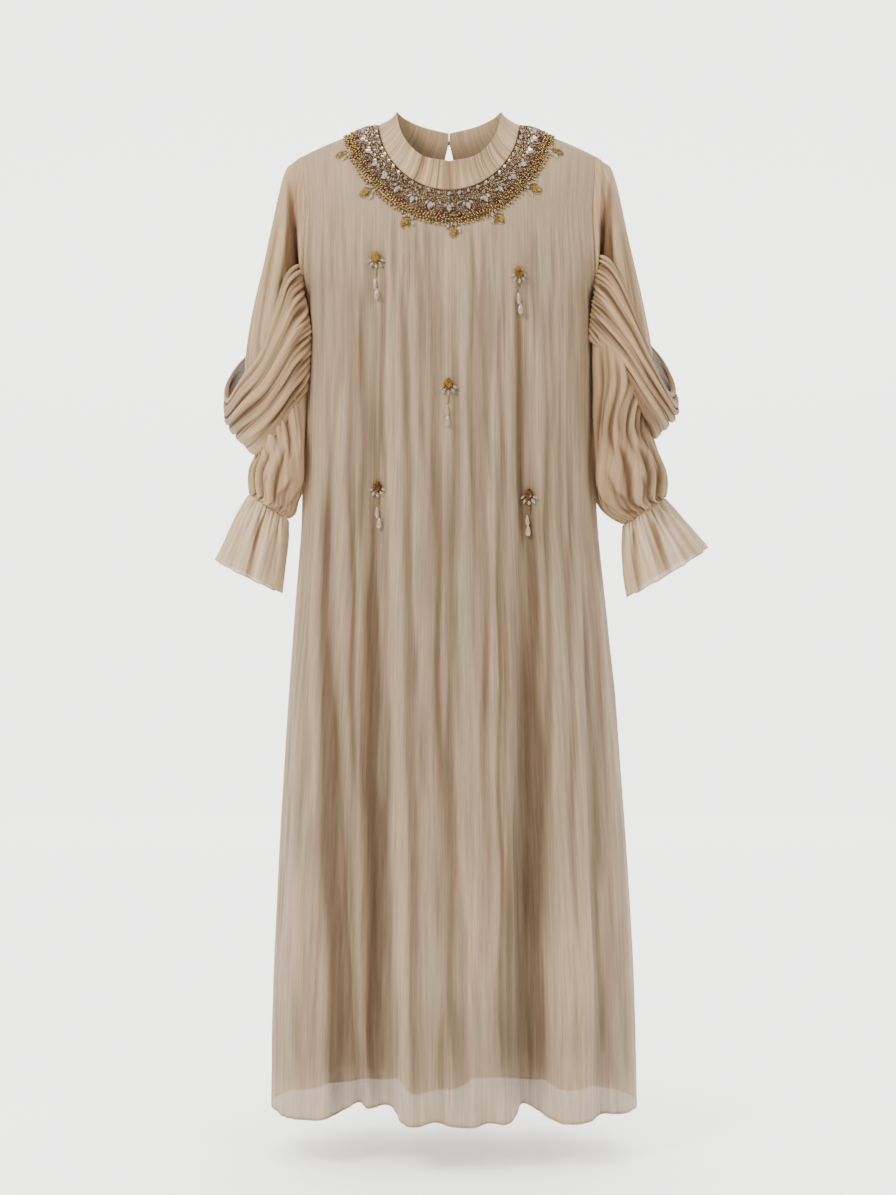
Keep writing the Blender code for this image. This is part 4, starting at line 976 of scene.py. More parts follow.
def connect(tree, made, links):
    """Sets a node's sockets by name, from (node, socket) or from values."""
    for socket, source in links.items():
        if isinstance(source, tuple) and len(source) == 2 and hasattr(source[0], "outputs"):
            tree.links.new(source[0].outputs[source[1]], made.inputs[socket])
        else:
            made.inputs[socket].default_value = source
    return made


def node(tree, kind, links=None, **settings):
    """Adds a node with its settings and its sockets."""
    made = tree.nodes.new(kind)
    for name, value in settings.items():
        setattr(made, name, value)
    return connect(tree, made, links or {})


def new_material(name):
    material = bpy.data.materials.new(name)
    material.use_nodes = True
    tree = material.node_tree
    return material, tree, tree.nodes["Principled BSDF"]


PINKER = (1.045, 0.99, 0.995, 1.0)
GREENER = (0.96, 0.99, 0.94, 1.0)
WEAVE_HEIGHT = 0.18
# Noise on the flat chiffon: patches a metre across and down the cloth, detail, roughness
CHIFFON_NOISES = (
    # Crinkles 5, 2.5 and 1.2 mm apart, the widest about 130 mm long
    ((200.0, 7.5, 1.0), 4.0, 0.76),
    # Slow change of tone where the cloth is thicker, about 25 mm across
    ((40.0, 5.0, 1.0), 2.0, 0.5),
    # Plain weave, drawn at 0.9 mm so that it shows; the real threads are about 0.15 mm
    ((1100.0, 1100.0, 1.0), 1.0, 0.5),
)


def crinkled_chiffon(name, lit, fold, sheer_share):
    """Crinkled chiffon of twisted yarn: matt, soft sheen, fine lengthwise crinkles, with painted
    shade in its folds and painted light and shade on its crinkles.
    """
    material, tree, shader = new_material(name)
    uv = node(tree, "ShaderNodeUVMap", uv_map="cloth")
    folds = node(tree, "ShaderNodeAttribute", attribute_name="fold")
    sheer = node(tree, "ShaderNodeAttribute", attribute_name="sheer")
    noises = []
    for patches, detail, roughness in CHIFFON_NOISES:
        spread = node(tree, "ShaderNodeMapping", {"Vector": (uv, "UV"), "Scale": patches})
        noise = node(
            tree,
            "ShaderNodeTexNoise",
            {"Vector": (spread, "Vector"), "Scale": 1.0, "Detail": detail,
             "Roughness": roughness},
            noise_dimensions="2D",
        )
        noises.append(noise)
    lines, tone, weave = noises
    # Painted shade: the fold mark turns the lit colour towards the darker fold colour
    colour = node(
        tree, "ShaderNodeMix",
        {"Factor": (folds, "Fac"), "A": linear(lit), "B": linear(fold)}, data_type="RGBA",
    )
    # Painted light and shade of the crinkles: lighter where the crinkle noise stands high,
    # darker where it lies low
    shade = node(
        tree,
        "ShaderNodeMapRange",
        {"Value": (lines, "Fac"), "From Min": 0.25, "From Max": 0.75, "To Min": 0.73,
         "To Max": 1.26},
    )
    toned = node(
        tree, "ShaderNodeVectorMath", {0: (colour, "Result"), "Scale": (shade, "Result")},
        operation="SCALE",
    )
    # The yarn's twist shows as a slow change from a pinker to a greener beige
    tint_share = node(
        tree, "ShaderNodeMapRange", {"Value": (tone, "Fac"), "From Min": 0.3, "From Max": 0.7}
    )
    tint = node(
        tree, "ShaderNodeMix",
        {"Factor": (tint_share, "Result"), "A": PINKER, "B": GREENER}, data_type="RGBA",
    )
    tinted = node(
        tree, "ShaderNodeVectorMath", {0: (toned, "Vector"), 1: (tint, "Result")},
        operation="MULTIPLY",
    )
    height = node(
        tree, "ShaderNodeMath", {0: (weave, "Fac"), 1: WEAVE_HEIGHT, 2: (lines, "Fac")},
        operation="MULTIPLY_ADD",
    )
    bump = node(
        tree, "ShaderNodeBump",
        {"Height": (height, "Value"), "Strength": 0.55, "Distance": 0.0012},
    )
    alpha = node(
        tree, "ShaderNodeMath", {0: (sheer, "Fac"), 1: -sheer_share, 2: 1.0},
        operation="MULTIPLY_ADD",
    )
    connect(tree, shader, {
        "Base Color": (tinted, "Vector"), "Normal": (bump, "Normal"), "Alpha": (alpha, "Value"),
        "Roughness": 0.72, "Sheen Weight": 0.25, "Sheen Roughness": 0.45,
        "Sheen Tint": linear("f0e2cf"), "Specular IOR Level": 0.25,
    })
    return material


def lining_crepe():
    """Polyester crepe of the slip: matt, fine pebbled grain."""
    material, tree, shader = new_material("crepe_lining")
    uv = node(tree, "ShaderNodeUVMap", uv_map="cloth")
    # Pebbled grain 1 mm across
    spread = node(
        tree, "ShaderNodeMapping", {"Vector": (uv, "UV"), "Scale": (1000.0, 1000.0, 1.0)}
    )
    grain = node(
        tree, "ShaderNodeTexNoise",
        {"Vector": (spread, "Vector"), "Scale": 1.0, "Detail": 2.0}, noise_dimensions="2D",
    )
    colour = node(
        tree, "ShaderNodeMix",
        {"Factor": (grain, "Fac"), "A": linear("a08768"), "B": linear("ae9678")},
        data_type="RGBA",
    )
    bump = node(
        tree, "ShaderNodeBump", {"Height": (grain, "Fac"), "Strength": 0.3, "Distance": 0.0004}
    )
    connect(tree, shader, {
        "Base Color": (colour, "Result"), "Normal": (bump, "Normal"), "Roughness": 0.8,
    })
    return material


def two_tones(name, kind, output, pattern, colour, dark, surface):
    """Solid material with patches of a second colour."""
    material, tree, shader = new_material(name)
    place = node(tree, "ShaderNodeTexCoord")
    patches = node(tree, kind, {"Vector": (place, "Object"), **pattern})
    tones = node(
        tree, "ShaderNodeMix",
        {"Factor": (patches, output), "A": linear(colour), "B": linear(dark)},
        data_type="RGBA",
    )
    connect(tree, shader, {"Base Color": (tones, "Result"), **surface})
    return material


def metal(name, colour, dark, roughness, patch_mm):
    """Cast or stamped metal, darker where it is tarnished."""
    pattern = {"Scale": 1000.0 / patch_mm, "Detail": 2.0}
    surface = {"Metallic": 1.0, "Roughness": roughness}
    return two_tones(name, "ShaderNodeTexNoise", "Fac", pattern, colour, dark, surface)


def stone(name, colour, dark, roughness, metallic, patch_mm, coat):
    """Foiled glass stone: clear cut glass over a mirror foil that throws light back, with
    painted reflections that make each facet-sized patch light or dark.
    """
    # Painted reflections: light and dark patches about the size of the facets
    pattern = {"Scale": 1000.0 / patch_mm}
    surface = {
        "Metallic": metallic, "Roughness": roughness, "Coat Weight": coat, "Coat Roughness": 0.03
    }
    return two_tones(name, "ShaderNodeTexVoronoi", "Color", pattern, colour, dark, surface)


def pearl():
    """Baroque pearl: nacre with a soft, slightly pink gloss."""
    # Cloudy patches about 2.4 mm across
    pattern = {"Scale": 420.0, "Detail": 3.0}
    surface = {
        "Roughness": 0.25, "Coat Weight": 0.6, "Coat Roughness": 0.12, "Sheen Weight": 0.2,
        "Sheen Tint": linear("ffd9d0"),
    }
    return two_tones("pearl", "ShaderNodeTexNoise", "Fac", pattern, "d2bda6", "8c6e56", surface)


def make_materials():
    return {
        # Chiffons: colour in light, darker colour of their painted shade, share of sheerness
        "front": crinkled_chiffon("crinkled_chiffon_taupe", "b29a7e", "6a5540", 0.24),
        "back": crinkled_chiffon("crinkled_chiffon_taupe_back", "ad9579", "66513c", 0.24),
        "sleeve": crinkled_chiffon("crinkled_chiffon_sleeve", "c1a27e", "674a2e", 0.24),
        "cuff": crinkled_chiffon("crinkled_chiffon_cuff", "ecd4b2", "8a653e", 0.32),
        "collar": crinkled_chiffon("crinkled_chiffon_collar", "c9ab86", "6f4f30", 0.0),
        "lining": lining_crepe(),
        "ground": metal("bronze_bead_ground", "967d64", "57473a", 0.50, 2.0),
        "seed": metal("antique_gold_seed_bead", "c4ab86", "7a6248", 0.32, 2.2),
        "champagne": metal("champagne_seed_bead", "d9c4a2", "967a55", 0.30, 2.4),
        "bronze": metal("dark_bronze_seed_bead", "83664e", "4a3424", 0.32, 2.4),
        "gold": metal("yellow_gold_bead", "d6b676", "7d5c2b", 0.27, 3.0),
        # Stones: colour, darker colour of their painted reflections, roughness, metallic, patch
        # size in mm, coat
        "garnet": stone("garnet_glass_bead", "64200f", "280a04", 0.26, 0.4, 2.5, 0.08),
        "crystal": stone("foiled_crystal", "fff6e8", "86735c", 0.10, 0.52, 1.6, 0.6),
        "yellow_amber": stone("yellow_amber_glass", "dcb04c", "5e3f0c", 0.10, 0.55, 3.0, 0.5),
        "amber": stone("amber_glass", "cf9a40", "4e2c0c", 0.10, 0.55, 3.0, 0.5),
        "dark_amber": stone("dark_amber_glass", "94602c", "2c1508", 0.10, 0.55, 3.0, 0.5),
        "brass": metal("aged_brass", "b89a5c", "7a6032", 0.3, 3.0),
        "pearl": pearl(),
    }


def panel_rows():
    yoke = np.arange(0.0, SHOULDER_ROW, 1.0 / YOKE_STEPS)
    arm = np.arange(SHOULDER_ROW, UNDERARM_ROW, 1.0 / ARMHOLE_STEPS)
    skirt = np.linspace(UNDERARM_ROW, HEM_ROW, int(HEM_ROW - UNDERARM_ROW) * SKIRT_STEPS + 1)
    hem = (HEM_ROW - 0.026, HEM_ROW - 0.018, HEM_ROW - 0.009)
    return np.concatenate((yoke, arm, skirt[:-1], hem, skirt[-1:]))


def fold_shade(push, small, valley_shade, z):
    """How far the cloth lies in painted shade, from 0 to 1: by height, in deep folds, in shaded
    valleys and in creases, and less on raised creases.
    """
    deep = DEEP_SHADE * np.clip(-push / FOLD_SHADE_DEPTH, 0.0, 1.0)
    slight = np.clip(-small / CREASE_SHADE_DEPTH, -0.25, 0.35)
    shade = follow(CLOTH_SHADE, z, 1) + deep + valley_shade + slight
    return np.clip(shade, 0.0, MOST_FOLD_SHADE)


def plumb_measure(points):
    """Measure across the cloth that stays the same straight down, wider towards the hem."""
    hem = points[-1]
    lengths = along(hem)
    shares = hem[:, 0] / follow(BODY, HEM_HEIGHT, 1)
    order = np.argsort(shares)
    share = points[..., 0] / follow(BODY, points[..., 2], 1)
    return np.interp(share, shares[order], lengths[order])


def make_panel(name, facing, folds, crease_table, shade_table, columns, seed):
    rows = panel_rows()
    if facing < 0.0:
        angles = np.linspace(-QUARTER, QUARTER, columns + 1)
    else:
        half = np.linspace(QUARTER, QUARTER / columns, columns // 2)
        angles = np.concatenate((half, -half[::-1]))
    row, angle = np.meshgrid(rows, angles, indexing="ij")
    points, push = panel(facing, row, angle, folds)
    if facing > 0.0:
        points[..., 0] += np.sign(angle) * np.clip(follow(KEYHOLE, row, 1), 0.0, None)
    normals = normals_of(points)
    across = plumb_measure(points)
    down = NECK_TOP_HEIGHT - points[..., 2]
    from_side = QUARTER - np.abs(angle)
    outward = smooth((np.abs(points[..., 0]) - YOKE_SIDE_X) / YOKE_SIDE_SPAN)
    calm_rows = YOKE_CALM_ROWS + YOKE_CALM_ROWS_OUTWARD * outward
    below_yoke = smooth((row - YOKE_ROW - YOKE_CALM_START) / calm_rows)
    chest = np.exp(-((down - CHEST_DOWN) / CHEST_SPREAD) ** 2) * np.cos(angle) ** 2
    small = crinkles(across, down, PANEL_CRINKLES, seed) * (1.0 + CHEST_GROWTH * chest)
    small = small + creases(crease_table, points[..., 0], points[..., 2])
    small = small * smooth(from_side / SEAM_CALM) * below_yoke
    points = points + normals * small[..., None]
    x, z = points[..., 0], points[..., 2]
    # Painted shade for the fold mark: along the armhole seam, at the hem fold, and by height, in
    # deep folds, in the listed valleys and in creases
    beside_arm = smooth((row - SHOULDER_ROW) / 0.2) * smooth((UNDERARM_ROW - row) / 0.5)
    seam = SEAM_SHADE * beside_arm * smooth(1.0 - from_side / SEAM_SHADE_ANGLE)
    hem_fold = row > HEM_ROW - HEM_FOLD_ROWS
    shade = fold_shade(push, small, creases(shade_table, x, z), z)
    marks = {
        "fold": np.clip(shade + seam + HEM_FOLD_SHADE * hem_fold, 0.0, 1.0),
        "sheer": smooth((SHEER_HEIGHT - z) / SHEER_SPAN) * (1.0 - HEM_FOLD_COVER * hem_fold),
    }
    skip = None
    if facing > 0.0:
        middle_columns = (columns // 2 - 1, columns // 2)
        slit_rows = int(np.sum(rows <= KEYHOLE_END + 1e-6))

        def skip(line, column):
            return line < slit_rows and column in middle_columns

    flat = (across, down)
    piece = cloth(name, points, flat, marks, normals, CHIFFON_THICKNESS, False, skip)
    return piece, points, normals


def make_lining():
    """Slip inside both panels, ending above the outer hem."""
    rows = np.linspace(LINING_TOP_ROW, LINING_HEM_ROW, LINING_STEPS)
    parts = []
    for facing, folds, columns in (
        (-1.0, FRONT_FOLDS, LINING_FRONT_COLUMNS),
        (1.0, BACK_FOLDS, LINING_BACK_COLUMNS),
    ):
        angles = np.linspace(facing * QUARTER, -facing * QUARTER, columns, endpoint=False)
        row, angle = np.meshgrid(rows, angles, indexing="ij")
        parts.append(panel(facing, row, angle, folds))
    points = np.concatenate([part[0] for part in parts], axis=1)
    push = np.concatenate([part[1] for part in parts], axis=1)
    normals = normals_of(points)
    points = points - normals * LINING_GAP
    hem = points[-1]
    turns = np.linspace(0.0, math.tau, len(hem), endpoint=False)
    back_shift = LINING_BACK_WAVE * np.sin(turns * LINING_BACK_WAVES)
    front_shift = follow(LINING_HEM, hem[:, 0], 1) - LINING_HEM_HEIGHT
    shift = np.where(hem[:, 1] < 0.0, front_shift, back_shift)
    points[..., 2] += shift * smooth((rows[:, None] - LINING_BEND_ROW) / LINING_BEND_ROWS)
    around = along(np.concatenate((points[-1], points[-1][:1])))
    flat = (around, -points[:, :1, 2])
    marks = {"fold": np.clip(-push / FOLD_SHADE_DEPTH, 0.0, 1.0)}
    return cloth("slip_lining", points, flat, marks, normals, LINING_THICKNESS, True)


def make_collar():
    """Stand collar: a funnel from the neckline up to its rim, in narrow uneven pleats."""
    sides = np.linspace(-1.0, 1.0, COLLAR_COLUMNS + 1)
    shares = np.linspace(0.0, 1.0, COLLAR_STEPS + 1)
    share, side = np.meshgrid(shares, sides, indexing="ij")
    angle = side * (math.pi - np.radians(follow(COLLAR_OPENING, share, 1)))
    turned = np.abs(angle)
    in_front = turned <= QUARTER
    quarter_angle = np.where(in_front, turned, math.pi - turned) * np.sign(angle)
    front, _ = panel(-1.0, np.zeros_like(angle), quarter_angle, FRONT_FOLDS)
    back, _ = panel(1.0, np.zeros_like(angle), quarter_angle, BACK_FOLDS)
    foot = np.where(in_front[..., None], front, back)
    rim_depth = np.where(in_front, RIM_FRONT_DEPTH, RIM_BACK_DEPTH)
    rim_z = follow(COLLAR_RIM, np.degrees(turned), 1)
    rim = np.stack(
        (RIM_HALF_WIDTH * np.sin(angle), -rim_depth * np.cos(angle), rim_z), axis=-1
    )
    inward = unit(-foot * LEVEL)
    foot = foot + unit(rim - foot) * COLLAR_LIFT
    waist = COLLAR_WAIST * np.sin(math.pi * share)
    points = foot + (rim - foot) * share[..., None] + inward * waist[..., None]
    normals = normals_of(points)
    around = along(points[0])
    across = np.broadcast_to(around, share.shape)
    height = share * COLLAR_HEIGHT
    random = np.random.default_rng(COLLAR_SEED)
    folds = crinkles(across, height, COLLAR_CRINKLES, COLLAR_SEED)
    for middle in np.sort(random.uniform(0.0, around[-1], COLLAR_PLEATS)):
        lean = random.uniform(-PLEAT_LEAN, PLEAT_LEAN)
        depth = random.uniform(*PLEAT_DEPTHS)
        away = (across - middle - lean * share) / random.uniform(*PLEAT_HALF_WIDTHS)
        folds -= depth * np.exp(-away * away)
    folds *= 0.25 + 0.75 * np.cos(angle / 2.0) ** 2
    points = points + normals * (folds * smooth((1.0 - share) / 0.06 + 0.2))[..., None]
    # Painted shade for the fold mark: darker at the front, where the collar faces forward and
    # down, and in its pleats
    shade = COLLAR_FRONT_SHADE * np.clip(np.cos(angle), 0.0, 1.0) ** 2
    shade = np.clip(shade - folds / PLEAT_SHADE_DEPTH, 0.0, COLLAR_MOST_SHADE)
    marks = {"fold": shade, "sheer": np.zeros_like(share)}
    flat = (across, height)
    return cloth("stand_collar", points, flat, marks, normals, CHIFFON_THICKNESS)


def armhole_ring():
    """Even points round the armhole: down the front from the shoulder, up the back."""
    rows = np.linspace(SHOULDER_ROW, UNDERARM_ROW, 80)
    quarter = np.full_like(rows, QUARTER)
    front, _ = panel(-1.0, rows, quarter, FRONT_FOLDS)
    back, _ = panel(1.0, rows, quarter, BACK_FOLDS)
    line = np.concatenate((front, back[::-1][1:]))
    lengths = along(line)
    even = np.linspace(0.0, lengths[-1], SLEEVE_COLUMNS, endpoint=False)
    return np.stack([np.interp(even, lengths, line[:, axis]) for axis in range(3)], axis=-1)


def make_upper_sleeve_points():
    """Points of the upper sleeve from the armhole down, with rows and angles."""
    ring = armhole_ring()
    top_z = ring[:, 2].max()
    bottom_z = ring[:, 2].min()
    lean = np.clip((2.0 * ring[:, 2] - top_z - bottom_z) / (top_z - bottom_z), -1.0, 1.0)
    side = np.sqrt(1.0 - lean * lean)
    side = np.where(ring[:, 1] < 0.0, -side, side)
    share = (1.0 - lean) / 2.0
    last = UPPER_SLEEVE[-1][0]
    rows = np.linspace(0.0, last, last * SLEEVE_STEPS + 1)
    values = [follow(UPPER_SLEEVE, rows, column)[:, None] for column in range(1, 8)]
    outer_x, outer_z, inner_x, inner_z, depth, pull, fit = values
    x = outer_x + (inner_x - outer_x) * share
    z = outer_z + (inner_z - outer_z) * share
    y = depth * side
    pulled = np.where(side < 0.0, 1.0, BACK_PULL_SHARE) * pull * smooth(share * PULL_SPREAD)
    y = y * (1.0 - pulled) + (ring[:, 1] - UPPER_SLEEVE[0][5] * side) * np.clip(fit, 0.0, 1.0)
    sleeve = np.stack((x, y, z), axis=-1)
    start = ring + np.array((SEAM_GAP, 0.0, 0.0))
    blend = smooth(rows)[:, None, None]
    points = start * (1.0 - blend) + sleeve * blend
    angle = np.degrees(np.arctan2(-side, lean)) % 360.0
    return points, rows, np.broadcast_to(angle, points.shape[:2])


def hoop_points(table, columns, steps, wave_count, wave_share=1.0):
    """Points of a tube of tilted hoops, with their rows and their angles in degrees."""
    first = table[0][0]
    last = table[-1][0]
    rows = np.linspace(first, last, (last - first) * steps + 1)
    values = [follow(table, rows, column)[:, None] for column in range(1, 8)]
    outer_x, outer_z, inner_x, inner_z, depth, height, turn = values
    angle = np.linspace(0.0, math.tau, columns, endpoint=False)[None, :]
    middle_x = (outer_x + inner_x) / 2.0
    middle_z = (outer_z + inner_z) / 2.0
    half = np.hypot(outer_x - middle_x, outer_z - middle_z)
    wave = wave_share * height * np.cos(wave_count * angle)
    seen = angle + np.radians(turn) * np.sin(angle)
    reach = np.cos(seen) * (1.0 + wave / half)
    x = middle_x + (outer_x - middle_x) * reach
    z = middle_z + (outer_z - middle_z) * reach
    y = -np.sin(seen) * (depth + wave)
    points = np.stack((x, y, z), axis=-1)
    degrees = np.degrees(seen) % 360.0
    return points, rows, np.broadcast_to(degrees, points.shape[:2])


def against_body(points, forward=1.0):
    """Arm points moved so that the arm hangs a little in front of the body's side edge."""
    x, y, z = points[..., 0], points[..., 1], points[..., 2]
    share = np.clip((ARM_OUTER_X - x) / ARM_WIDTH, 0.0, 1.1)
    y = y - forward * follow(ARM_SET, z, 1) * share
    in_front = smooth((ARM_FRONT_Y - y) / ARM_FRONT_SPAN)
    x = x - follow(ARM_SET, z, 2) * share * share * in_front
    return np.stack((x, y, z), axis=-1)


def arm_measure(points):
    """Measures round the arm and down it, from its own axis."""
    x, y, z = points[..., 0], points[..., 1], points[..., 2]
    turn = np.arctan2(y, x - follow(ARM_AXIS, z, 1)) + math.pi
    return turn * ARM_RADIUS, NECK_TOP_HEIGHT - z


def tube_piece(name, points, rows, angle, table, kind, base, seed, sign, shade=None):
    """Sleeve or cuff: its listed folds and crinkles on its form."""
    normals = normals_of(points, points.mean(axis=1, keepdims=True))
    row = np.broadcast_to(rows[:, None], angle.shape)
    length = along(points[:, 0])
    hoop = points[len(rows) // 2]
    around = along(np.concatenate((hoop, hoop[:1])))
    across = np.broadcast_to(around[:-1], angle.shape)
    down = np.broadcast_to(length[:, None], angle.shape)
    flat = (around, length[:, None])
    if kind["plumb"]:
        across, down = arm_measure(points)
        flat = (closed(across), closed(down))
    fade = smooth((row - rows[0]) / FOLDS_START_ROWS)
    fade = fade * smooth((rows[-1] - row) / FOLDS_END_ROWS + kind["end"])
    small = crinkles(across, down, kind["crinkles"], seed, around[-1])
    small = (small + round_creases(table, angle, row, kind["swing"])) * fade
    if kind["gathers"]:
        near = row if kind["gathers"] > 0.0 else rows[-1] - row
        drift = crinkle(across, down * 0.0, GATHER_DRIFT_SPACING, 1.0, seed + 2, around[-1])
        wave = np.cos(np.radians(angle) * GATHER_WAVES + GATHER_DRIFT * drift)
        held = np.exp(-near / abs(kind["gathers"])) * smooth(near / GATHER_SEAM_ROWS)
        small = small + kind["gather"] * wave * held * (1.0 + GATHER_CHANGE * drift)
    shaded = shade(points) if shade else np.zeros_like(small)
    small = small * (1.0 - SHADED_CALM * shaded)
    points = points + normals * small[..., None]
    edge = kind["edge"] * (row > rows[-1] - CUFF_EDGE_ROWS)
    # Painted shade for the fold mark: the arm's own shade over its flat cloth, darker in creases
    # and lighter on raised ones, the deep fold beside the armhole and a darker cuff edge
    fold = np.clip(base - small / kind["shade"], 0.0, TUBE_MOST_SHADE) + shaded + edge
    sheer = smooth((row - CUFF_SHEER_ROW) / CUFF_SHEER_ROWS)
    sheer = kind["sheer"] * (CUFF_TOP_SHEER + (1.0 - CUFF_TOP_SHEER) * sheer)
    marks = {"fold": np.clip(fold, 0.0, 1.0), "sheer": sheer * (1.0 - edge)}
    side = np.array((sign, 1.0, 1.0))
    return cloth(name, points * side, flat, marks, normals * side, CHIFFON_THICKNESS, True)


def waves(table, at, share):
    """Sum of waves, each (height, turns along, turns across, start)."""
    return sum(
        size * np.sin(at * turns + share * across + start)
        for size, turns, across, start in table
    )


def sling_pleats(at, share, from_gather, height):
    """Narrow pleats that come out of both gathers and soon fade."""
    drift = SLING_PLEAT_WANDER * waves(PLEAT_DRIFT, at, share)
    phase = math.tau * SLING_PLEATS * (share + drift * smooth(share / 0.1) * 0.6)
    strength = smooth(1.0 - from_gather / SLING_PLEAT_REACH)
    held = smooth(from_gather / SLING_GATHER_PLACES)
    strength = strength * (SLING_GATHER_SHARE + (1.0 - SLING_GATHER_SHARE) * held)
    ridge = 2.0 * np.abs(np.cos(phase / 2.0)) - 1.2
    change = 1.0 + waves(PLEAT_CHANGE, at, share)
    return height * SLING_PLEAT_HEIGHT * ridge * change * strength


def sling_folds(at, share, from_gather, last):
    """Larger folds that run from gather to gather."""
    total = np.zeros(np.broadcast(at, share).shape)
    grown = smooth(from_gather / SLING_FOLD_PLACES)
    stations = np.array(SLING_STATIONS) * last
    for number, fold in enumerate(SLING_FOLDS):
        keys = tuple(zip(stations, fold[:5]))
        middle = follow(keys, at, 1) + SLING_FOLD_WANDER * np.sin(at * 1.9 + number * 2.3)
        swell = 0.85 + 0.65 * np.sin(at * 1.1 + number * 1.7)
        profile = np.exp(-(((share - middle) / fold[6]) ** 2))
        total += fold[5] * swell * grown * profile
    return total


def sling_points(table):
    """Points of a sling, the height of its folds and its places along, gather to gather."""
    last = table[-2][0]
    at = np.linspace(-1.0, last + 1.0, SLING_ALONG + 1)[:, None]
    values = [follow(table, at, column) for column in range(1, 9)]
    rim = np.stack(values[0:3], axis=-1)
    low = np.stack(values[3:6], axis=-1)
    bulge, height = values[6:8]
    place = np.linspace(-SLING_ROLL_SHARE, 1.0 + SLING_ROLL_SHARE, SLING_ACROSS + 1)[None, :]
    share = np.clip(place, 0.0, 1.0)
    away = (rim + low) / 2.0 - np.array((SLING_CENTRE_X, 0.0, 0.0))
    away = unit(away * np.array((1.0, SLING_SWELL_DEPTH_SHARE, 0.0)))
    from_gather = np.clip(np.minimum(at, last - at), 0.0, None)
    folds = sling_pleats(at, share, from_gather, height)
    folds = folds + sling_folds(at, share, from_gather, last)
    folds = folds * smooth((1.0 + SLING_ROLL_SHARE - place) / SLING_ROLL_SHARE)
    points = rim + (low - rim) * share[..., None]
    points = points + away * (bulge * np.sin(math.pi * share))[..., None]
    down = unit(low - rim)
    free = smooth(from_gather / SLING_ROLL_PLACES)
    # Both long edges roll in, away from the gathers
    for over, size, way in (
        (place - 1.0, SLING_ROLL, 1.0),
        (-place, SLING_RIM_ROLL, -1.0),
    ):
        turn = math.pi * np.clip(over / SLING_ROLL_SHARE, 0.0, 1.0)
        rolled = down * (way * np.sin(turn))[..., None] - away * (1.0 - np.cos(turn))[..., None]
        points = points + rolled * (size * free)[..., None]
    return against_body(points, SLING_FORWARD), folds, at


def make_sling(name, table, seed, sign, base):
    """Pleated sling of one sleeve, sheer in the middle of its back."""
    points, folds, at = sling_points(table)
    centre = points.mean(axis=(0, 1)) * LEVEL
    normals = normals_of(points, centre + points * UPWARD)
    across = np.broadcast_to(along(points[len(at) // 2]), folds.shape)
    down = np.broadcast_to(along(points[:, 0])[:, None], folds.shape)
    small = folds + crinkles(across, down, SLING_CRINKLES, seed)
    points = points + normals * small[..., None]
    end = at[-1, 0]
    sheer = smooth((at - end / 2.0 - SLING_SHEER_START) / SLING_SHEER_RISE)
    sheer = sheer * smooth((end - SLING_SHEER_END - at) / SLING_SHEER_FALL)
    # Painted shade for the fold mark: the sling's own shade over its flat cloth, darker in its
    # folds and lighter on their ridges
    marks = {
        "fold": np.clip(base - small / SLING_SHADE_DEPTH, 0.0, SLING_MOST_SHADE),
        "sheer": np.broadcast_to(sheer, small.shape),
    }
    side = np.array((sign, 1.0, 1.0))
    flat = (across, down)
    return cloth(name, points * side, flat, marks, normals * side, CHIFFON_THICKNESS)


def tree_of(points):
    """Search tree over the surface through a grid of points."""
    bm = mesh_through(points)
    tree = BVHTree.FromBMesh(bm)
    bm.free()
    return tree


def armhole_shade(points):
    """Shade of the deep fold that falls beside the armhole, wider towards its lower end."""
    x, y, z = points[..., 0], points[..., 1], points[..., 2]
    down = np.clip((ARMHOLE_FOLD_START - z) / ARMHOLE_FOLD_LENGTH, 0.0, 1.4)
    middle = ARMHOLE_FOLD_X - ARMHOLE_FOLD_DRIFT * down
    reach = ARMHOLE_FOLD_HALF_WIDTH + ARMHOLE_FOLD_GROWTH * down + ARMHOLE_FOLD_EDGE
    near = smooth((reach - np.abs(x - middle)) / ARMHOLE_FOLD_SOFT)
    facing = np.where(y < 0.0, 1.0, ARMHOLE_FOLD_BACK_SHARE)
    lower = (1.0 - ARMHOLE_FOLD_TOP_SHARE) * np.minimum(down, 1.0)
    return near * facing * smooth(down / 0.15) * (ARMHOLE_FOLD_TOP_SHARE + lower)


